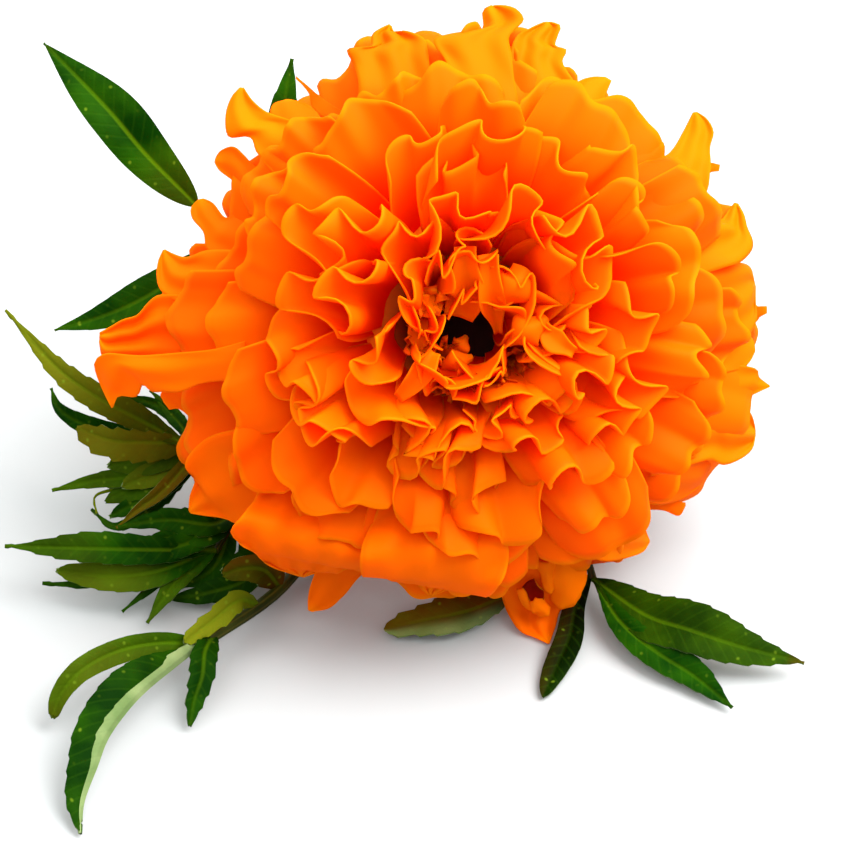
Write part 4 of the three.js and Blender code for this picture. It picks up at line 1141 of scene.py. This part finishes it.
def leaf_material():
    """Marigold leaf: a waxy, dark green living blade, satin above and paler and duller below."""
    material, tree = new_material("leaf")
    given = []
    for name in ("blade", "tone", "place"):
        mark = add(tree, ATTRIBUTE, {"attribute_name": name})["Vector"]
        given.extend(add(tree, SEPARATE, {}, [mark]))
    aside, run, width, light, brown, pale, under, along, rib = given
    aside = add(tree, MATH, "ABSOLUTE", [aside])[0]

    # Cloudy patches, about 5 mm wide.
    cloud, place = clouds(tree, 200.0, 2.0)
    green = add(tree, MIX, COLOURS, {"Factor": cloud, "A": "#083000", "B": "#1E4A00"})["Result"]
    green = add(tree, MIX, COLOURS, {"Factor": light, "A": green, "B": "#818A14"})["Result"]
    # Negative light darkens a leaflet towards near black: partly its own darker tone, and for the leaflets
    # under and beside the bloom painted shade.
    dark = add(tree, MATH, "MULTIPLY", [light, -1.0])[0]
    green = add(tree, MIX, COLOURS, {"Factor": dark, "A": green, "B": "#050800"})["Result"]
    flush = add(tree, MAP_RANGE, {}, [cloud, 0.0, 1.0, 0.5, 1.0])[0]
    flush = add(tree, MATH, "MULTIPLY", [brown, flush])[0]
    green = add(tree, MIX, COLOURS, {"Factor": flush, "A": green, "B": "#5E3404"})["Result"]

    # The midrib, about 0.7 mm wide and fading to the tip, and faint side veins that run forward to the
    # margin.
    midrib = add(tree, MAP_RANGE, SMOOTH, [aside, 0.1, 0.45, 1.0, 0.0])[0]
    fading = add(tree, MAP_RANGE, {}, [along, 0.0, 0.9, 1.0, 0.2])[0]
    fading = add(tree, MATH, "MULTIPLY", [fading, rib])[0]
    vein = add(tree, MATH, "SUBTRACT", [run, aside])[0]
    vein = add(tree, MATH, "MULTIPLY", [vein, 2 * math.pi / VEIN_GAP])[0]
    vein = add(tree, MATH, "COSINE", [vein])[0]
    vein = add(tree, MAP_RANGE, SMOOTH, [vein, 0.6, 1.0, 0.0, 1.0])[0]
    faint = add(tree, MATH, "MULTIPLY", [vein, 0.05])[0]
    green = add(tree, MIX, COLOURS, {"Factor": faint, "A": green, "B": "#4C7A10"})["Result"]
    shown = add(tree, MATH, "MULTIPLY", [midrib, fading])[0]
    green = add(tree, MIX, COLOURS, {"Factor": shown, "A": green, "B": "#5A7E04"})["Result"]

    # Oil glands: pale dots 0.4 mm wide.
    step = add(tree, MATH, "DIVIDE", [run, GLAND_GAP])[0]
    step = add(tree, MATH, "FRACT", [step])[0]
    step = add(tree, MATH, "MULTIPLY_ADD", [step, GLAND_GAP, -GLAND_GAP / 2])[0]
    inset = add(tree, MATH, "SUBTRACT", [width, aside])[0]
    inset = add(tree, MATH, "SUBTRACT", [inset, GLAND_INSET])[0]
    dot = add(tree, COMBINE, {}, [step, inset, 0.0])[0]
    dot = add(tree, VECTOR_MATH, "LENGTH", [dot])["Value"]
    dot = add(tree, MAP_RANGE, SMOOTH, [dot, 0.05, 0.3, 0.6, 0.0])[0]
    sparse = add(tree, MAP_RANGE, {}, [cloud, 0.3, 0.8, 0.1, 1.0])[0]
    dot = add(tree, MATH, "MULTIPLY", [dot, sparse])[0]
    green = add(tree, MIX, COLOURS, {"Factor": dot, "A": green, "B": "#6E8A1C"})["Result"]

    # The underside.
    lower = add(tree, MIX, COLOURS, {"Factor": cloud, "A": "#68804A", "B": "#889A64"})["Result"]
    share = add(tree, MATH, "MAXIMUM", [under, pale])[0]
    colour = add(tree, MIX, COLOURS, {"Factor": share, "A": green, "B": lower})["Result"]

    grain = add(tree, NOISE, {}, {"Vector": place, "Scale": 2500.0, "Detail": 2.0})[0]
    relief = add(tree, MATH, "MULTIPLY_ADD", [vein, -0.3, grain])[0]
    relief = add(tree, MATH, "MULTIPLY_ADD", [midrib, -1.5, relief])[0]
    bump = add(tree, BUMP, {}, {"Strength": 0.3, "Distance": 0.0002, "Height": relief})[0]
    times = {"data_type": "RGBA", "blend_type": "MULTIPLY"}
    glow = add(tree, MIX, times, {"Factor": 0.6, "A": colour, "B": "#C8FF40"})["Result"]
    skin(tree, colour, 0.6, 0.02, bump, glow, 0.22)
    return material


def stalk_material():
    """Marigold stalk: ribbed green herb stem, faintly bronzed, with a satin skin."""
    material, tree = new_material("stalk")
    around = add(tree, ATTRIBUTE, {"attribute_name": "round"})["Fac"]
    cloud, place = clouds(tree, 160.0, 3.0)
    colour = add(tree, MIX, COLOURS, {"Factor": cloud, "A": "#1E2402", "B": "#363A06"})["Result"]
    rib = add(tree, MATH, "MULTIPLY", [around, 2 * math.pi * STEM_RIBS])[0]
    rib = add(tree, MATH, "COSINE", [rib])[0]
    rib = add(tree, MAP_RANGE, {}, [rib, 0.2, 1.0, 0.0, 0.5])[0]
    colour = add(tree, MIX, COLOURS, {"Factor": rib, "A": colour, "B": "#504A14"})["Result"]
    fibre = add(tree, "ShaderNodeMapping", {}, {"Vector": place, "Scale": (1.0, 0.15, 1.0)})[0]
    fibre = add(tree, NOISE, {}, {"Vector": fibre, "Scale": 2200.0, "Detail": 2.0})[0]
    bump = add(tree, BUMP, {}, {"Strength": 0.3, "Distance": 0.0002, "Height": fibre})[0]
    skin(tree, colour, 0.55, 0.1, bump)
    return material


leaf_skin = leaf_material()
stalk_skin = stalk_material()
rods = rod_tree()


def joined(name, pieces):
    """One piece out of several, each kept whole."""
    with bpy.context.temp_override(active_object=pieces[0], selected_editable_objects=pieces):
        bpy.ops.object.join()
    pieces[0].name = name
    pieces[0].data.name = name
    return pieces[0]


for number, (name, (stalk, *leaflets)) in enumerate(LEAVES.items()):
    stalk_path = Path(stalk)
    line = path_mesh(name, stalk_path, OWN_GIRTHS.get(name, STALK_GIRTHS), 40)
    sizes = {"Sides": 18, "Ribs": 3.0, "Rib depth": 0.1, "Material": stalk_skin}
    rod = grown(name + "_stalk", line, rods, sizes)
    blades = Blades()
    for count, (at, points, half, own) in enumerate(leaflets):
        points = [point if isinstance(point, Vector) else pictured(*point) for point in points]
        path = Path([stalk_path.at(at)[0], *points])
        blades.leaflet(path, half, seed=10 * number + count, **own)
    leaf = joined(name + "_blades", [new_piece(name + "_blades", blades.mesh(name, leaf_skin)), rod])
    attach(leaf, "root")
    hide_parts(name)

line = path_mesh("ribbed_stem", STEM_PATH, STEM_GIRTHS, 60)
sizes = {"Sides": 72, "Ribs": STEM_RIBS, "Rib depth": 0.05, "Material": stalk_skin}
stem = grown("ribbed_stem", line, rods, sizes)
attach(stem, "root")
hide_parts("stem")


# What is turned round the bloom's axis: the green cup with its teeth, and the receptacle inside.
def turned_mesh(name, profile, segments, material, edge=None, ripple=None):
    """A closed form turned from (radius, height) points. edge raises or lowers the points by their
    angle, and ripple scales the radius by the angle and the point's share of the profile."""
    points, faces, cup = [], [], []
    last = len(profile) - 1
    for i, (radius, height) in enumerate(profile):
        for k in range(segments):
            angle = 2 * math.pi * k / segments
            wide = radius * (ripple(angle, i / last) if ripple else 1)
            high = height + (edge(angle, i) if edge else 0)
            points.append(FLOWER @ Vector((wide * math.cos(angle), wide * math.sin(angle), high)) * MM)
            cup.extend((angle / (2 * math.pi), height, wide))
    for i in range(last):
        for k in range(segments):
            a, b = i * segments + k, i * segments + (k + 1) % segments
            faces.append((a, b, b + segments, a + segments))
    faces.append(tuple(range(segments - 1, -1, -1)))
    faces.append(tuple(range(last * segments, (last + 1) * segments)))
    mesh = new_mesh(name, points, faces=faces, material=material, cup=cup)
    mesh.set_sharp_from_angle(angle=math.radians(50))
    return mesh


TEETH = 9
CUP_TOP = -3.1
TOOTH_HEIGHT = 2.8
CUP_WALL = (
    (3.1, -22.6), (3.5, -22.0), (4.2, -21.3), (4.9, -20.4), (5.6, -19.0), (6.3, -17.2), (7.1, -15.0),
    (7.9, -12.8), (8.6, -10.8), (9.2, -8.8), (9.6, -7.2), (9.9, -5.8), (10.05, -4.6), (10.15, -3.8),
)


def tooth_height(angle):
    """How far the cup's edge rises here: to a pointed tooth at the end of each bract."""
    off = abs((angle * TEETH / (2 * math.pi)) % 1 - 0.5) * 2
    return TOOTH_HEIGHT * max(1 - off / 0.62, 0) ** 0.85


def cup_mesh(material):
    profile = list(CUP_WALL)
    lifted = len(profile)
    profile += [(10.25, CUP_TOP), (10.3, CUP_TOP), (9.85, CUP_TOP), (9.75, CUP_TOP), (9.5, -5.5), (0.4, -6)]
    shares = {lifted: 0.5, lifted + 1: 1, lifted + 2: 1, lifted + 3: 0.5}

    def edge(angle, i):
        return tooth_height(angle) * shares.get(i, 0)

    def ribs(angle, share):
        return 1 + 0.022 * math.cos(TEETH * angle + math.pi) + 0.008 * math.cos(3 * TEETH * angle)

    return turned_mesh("green_cup", profile, 20 * TEETH, material, edge, ribs)


CLAWS = 54
RECEPTACLE_WALL = (
    (7.4, -5.6), (8.4, -3.2), (9.0, -0.6), (11.0, 1.6), (13.6, 3.2), (15.2, 5.4), (15.8, 8), (14.6, 11.5),
    (12.0, 13.6), (9.0, 14.8), (6.4, 14.6), (5.6, 13.0), (5.2, 11.2), (3.0, 10.6), (0.3, 10.4),
)


def receptacle_mesh(material):
    def claws(angle, share):
        return 1 + 0.02 * math.cos(CLAWS * angle) * (1 - share)

    return turned_mesh("petal_claws", RECEPTACLE_WALL, 6 * CLAWS, material, None, claws)


# The cup's glands, in mm: half their width, half their length, and from gland to gland.
OVAL_WIDTH = 0.27
OVAL_LENGTH = 0.65
OVAL_GAP = 2.4


def cup_material():
    """Marigold cup: fused green bracts, satin, with rows of reddish brown oil glands between the ribs."""
    material, tree = new_material("bracts")
    cup = add(tree, ATTRIBUTE, {"attribute_name": "cup"})["Vector"]
    turn, height, radius = add(tree, SEPARATE, {}, [cup])
    cloud = clouds(tree, 180.0, 3.0)[0]
    green = add(tree, MIX, COLOURS, {"Factor": cloud, "A": "#2E500E", "B": "#4E6E1E"})["Result"]
    rib = add(tree, MATH, "MULTIPLY", [turn, 2 * math.pi * TEETH])[0]
    rib = add(tree, MATH, "COSINE", [rib])[0]
    keel = add(tree, MAP_RANGE, {}, [rib, -0.6, -1.0, 0.0, 0.55])[0]
    green = add(tree, MIX, COLOURS, {"Factor": keel, "A": green, "B": "#748A36"})["Result"]
    # Glands: ovals in rows between the ribs, each row shifted from the next.
    row = add(tree, MATH, "MULTIPLY", [turn, 2.0 * TEETH])[0]
    lane = add(tree, MATH, "FRACT", [row])[0]
    lane = add(tree, MATH, "SUBTRACT", [lane, 0.5])[0]
    lane = add(tree, MATH, "MULTIPLY", [lane, radius])[0]
    lane = add(tree, MATH, "MULTIPLY", [lane, 2 * math.pi / (2 * TEETH) / OVAL_WIDTH])[0]
    shift = add(tree, MATH, "FLOOR", [row])[0]
    shift = add(tree, MATH, "MULTIPLY", [shift, 0.37])[0]
    rung = add(tree, MATH, "MULTIPLY_ADD", [height, 1 / OVAL_GAP, shift])[0]
    rung = add(tree, MATH, "FRACT", [rung])[0]
    rung = add(tree, MATH, "SUBTRACT", [rung, 0.5])[0]
    rung = add(tree, MATH, "MULTIPLY", [rung, OVAL_GAP / OVAL_LENGTH])[0]
    oval = add(tree, COMBINE, {}, [lane, rung, 0.0])[0]
    oval = add(tree, VECTOR_MATH, "LENGTH", [oval])["Value"]
    gland = add(tree, MAP_RANGE, SMOOTH, [oval, 0.7, 1.1, 0.7, 0.0])[0]
    colour = add(tree, MIX, COLOURS, {"Factor": gland, "A": green, "B": "#5C3610"})["Result"]
    sizes = {"Strength": 0.5, "Distance": 0.0002, "Height": gland}
    bump = add(tree, BUMP, {"invert": True}, sizes)[0]
    skin(tree, colour, 0.55, 0.1, bump)
    return material


def claw_material():
    """The petals' packed claws: pale orange where light reaches them, near black deep in the pit."""
    material, tree = new_material("petal_claws")
    cup = add(tree, ATTRIBUTE, {"attribute_name": "cup"})["Vector"]
    _, height, radius = add(tree, SEPARATE, {}, [cup])
    root = add(tree, MAP_RANGE, {}, [height, -3.0, 3.0, 0.0, 1.0])[0]
    outside = add(tree, MIX, COLOURS, {"Factor": root, "A": "#B8B04A", "B": "#FF7A00"})["Result"]
    pit = add(tree, MAP_RANGE, {}, [radius, 12.0, 7.0, 0.0, 1.0])[0]
    high = add(tree, MAP_RANGE, {}, [height, 8.0, 10.0, 0.0, 1.0])[0]
    pit = add(tree, MATH, "MULTIPLY", [pit, high])[0]
    colour = add(tree, MIX, COLOURS, {"Factor": pit, "A": outside, "B": "#200500"})["Result"]
    skin(tree, colour, 0.7, 0.1)
    return material


green_cup = new_piece("green_cup", cup_mesh(cup_material()))
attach(green_cup, "root")
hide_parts("calyx")
petal_claws = new_piece("petal_claws", receptacle_mesh(claw_material()))
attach(petal_claws, "root")
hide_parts("bloom")


# Young florets crowd round the hollow: small tubes that open in five pointed lobes.
def floret_tree():
    sizes = {
        "Places": ("Geometry", None),
        "Lobes": ("Float", 5.0),
        "Tube radius": ("Float", 0.55),
        "Mouth radius": ("Float", 1.5),
        "Length": ("Float", 4.5),
        "Material": ("Material", None),
    }
    tree, (places, lobes, tube, mouth, length, material) = new_tree("young florets", sizes, "Florets")
    sheet = add(tree, GRID, {}, {"Size X": 2.0, "Size Y": 1.0, "Vertices X": 21, "Vertices Y": 5})[0]
    spot = add(tree, POSITION)[0]
    across, along, _ = add(tree, SEPARATE, {}, [spot])
    along = add(tree, MATH, "ADD", [along, 0.5])[0]
    turn = add(tree, MATH, "MULTIPLY", [across, math.pi])[0]
    wave = add(tree, MATH, "MULTIPLY", [turn, lobes])[0]
    wave = add(tree, MATH, "COSINE", [wave])[0]
    opening = add(tree, MATH, "POWER", [along, 3.0])[0]
    radius = add(tree, MIX, {}, {"Factor": opening, "A": tube, "B": mouth})["Result"]
    lobe = add(tree, MATH, "MULTIPLY", [wave, opening])[0]
    rising = add(tree, MATH, "MULTIPLY_ADD", [lobe, 0.2, along])[0]
    flare = add(tree, MATH, "MULTIPLY_ADD", [lobe, 0.25, 1.0])[0]
    radius = add(tree, MATH, "MULTIPLY", [radius, flare])[0]
    cosine = add(tree, MATH, "COSINE", [turn])[0]
    sine = add(tree, MATH, "SINE", [turn])[0]
    x = add(tree, MATH, "MULTIPLY", [cosine, radius])[0]
    y = add(tree, MATH, "MULTIPLY", [sine, radius])[0]
    z = add(tree, MATH, "MULTIPLY", [rising, length])[0]
    place = add(tree, COMBINE, {}, [x, y, z])[0]
    place = add(tree, VECTOR_MATH, "SCALE", {"Vector": place, "Scale": MM})[0]
    rolled = add(tree, SET_POSITION, {}, {"Geometry": sheet, "Position": place})[0]
    closed = add(tree, "GeometryNodeMergeByDistance", {}, {"Geometry": rolled, "Distance": 0.00001})[0]
    turn_to = add(tree, MARK, THREE, {"Name": "lean"})[0]
    turn_to = add(tree, "FunctionNodeEulerToRotation", {}, [turn_to])[0]
    size = add(tree, MARK, {"data_type": "FLOAT"}, {"Name": "size"})[0]
    put = {"Points": places, "Instance": closed, "Rotation": turn_to, "Scale": size}
    florets = add(tree, "GeometryNodeInstanceOnPoints", {}, put)[0]
    whole = add(tree, REALIZE, {}, [florets])[0]
    # Young florets are crumpled, each in its own way.
    spot = add(tree, POSITION)[0]
    crumple = add(tree, NOISE, {}, {"Vector": spot, "Scale": 700.0, "Detail": 1.0})[1]
    crumple = add(tree, VECTOR_MATH, "SUBTRACT", [crumple, (0.5, 0.5, 0.5)])[0]
    crumple = add(tree, VECTOR_MATH, "SCALE", {"Vector": crumple, "Scale": 2.4 * MM})[0]
    crumpled = add(tree, SET_POSITION, {}, {"Geometry": whole, "Offset": crumple})[0]
    return end_tree(tree, crumpled, material)


# How many stand in a ring, its radius and height, and how far they lean out, in degrees.
FLORET_RINGS = ((10, 5.6, 13.6, 5), (13, 6.9, 16, 15))


def floret_places(seed):
    """Where young florets stand, which way they lean, and their sizes."""
    draw = random.Random(seed).uniform
    points, leans, sizes = [], [], []
    for count, radius, height, out in FLORET_RINGS:
        for k in range(count):
            angle = 2 * math.pi * (k + draw(-0.3, 0.3)) / count
            base = Vector((radius * math.cos(angle), radius * math.sin(angle), height + draw(-0.8, 0.8)))
            tilt = math.radians(out + draw(-25, 20))
            aside = math.sin(tilt)
            heading = Vector((aside * math.cos(angle), aside * math.sin(angle), math.cos(tilt)))
            points.append(FLOWER @ base * MM)
            leans.extend((FLOWER.to_3x3() @ heading).to_track_quat("Z", "Y").to_euler())
            sizes.append(draw(0.6, 1.1))
    return new_mesh("floret_places", points, lean=leans, size=sizes)


def floret_material():
    """Young florets: the petals' tissue before it has spread, duller and browner."""
    material, tree = new_material("young_floret")
    cloud = clouds(tree, 500.0, 2.0, 0.38, 0.62)[0]
    colour = add(tree, MIX, COLOURS, {"Factor": cloud, "A": "#C83A00", "B": "#FF7A00"})["Result"]
    skin(tree, colour, 0.6, 0.03, glow=colour, share=0.3)
    return material


young = grown("young_florets", floret_places(5), floret_tree(), {"Material": floret_material()}, 0.22)
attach(young, "root")
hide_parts("heart")


# Floor, light and world. The floor is plain pale paper, matt and without a grain that shows.
FLOOR_REACH = 1.5
corners = [(x * FLOOR_REACH, y * FLOOR_REACH, 0) for x, y in ((-1, -1), (1, -1), (1, 1), (-1, 1))]
floor_mesh = new_mesh("floor", corners, faces=[(0, 1, 2, 3)])
floor = new_piece("floor", floor_mesh)
paper, paper_tree = new_material("paper")
skin(paper_tree, "#A1A4A4", 0.9, 0.5)
floor_mesh.materials.append(paper)

# A window at the right, in metres and watts.
LAMP_SIZE = 0.7
LAMP_POWER = 13
LAMP_PLACE = (0.45, 0.0, 0.65)
LAMP_AIM = Vector((0, 0, 0.02))
lamp_data = bpy.data.lights.new("window", "AREA")
lamp_data.shape = "DISK"
lamp_data.size = LAMP_SIZE
lamp_data.energy = LAMP_POWER
lamp = bpy.data.objects.new("window", lamp_data)
lamp.location = LAMP_PLACE
lamp.rotation_euler = (LAMP_AIM - lamp.location).to_track_quat("-Z", "Y").to_euler()
bpy.context.scene.collection.objects.link(lamp)

# The sky is dim at the horizon and bright overhead, and brighter behind the flower than before it.
LOW_SKY = 0.3
HIGH_SKY = 2.85
world = bpy.data.worlds.new("studio")
world.use_nodes = True
sky = world.node_tree
direction = add(sky, "ShaderNodeTexCoord")["Generated"]
_, behind, height = add(sky, SEPARATE, {}, [direction])
height = add(sky, MATH, "MULTIPLY_ADD", [behind, 0.25, height])[0]
sky_light = add(sky, MAP_RANGE, SMOOTH, [height, 0.1, 0.83, LOW_SKY, HIGH_SKY])[0]
sky.nodes["Background"].inputs["Color"].default_value = (1, 1, 1, 1)
sky.links.new(sky_light, sky.nodes["Background"].inputs["Strength"])
bpy.context.scene.world = world
bpy.context.scene.view_settings.view_transform = "Standard"
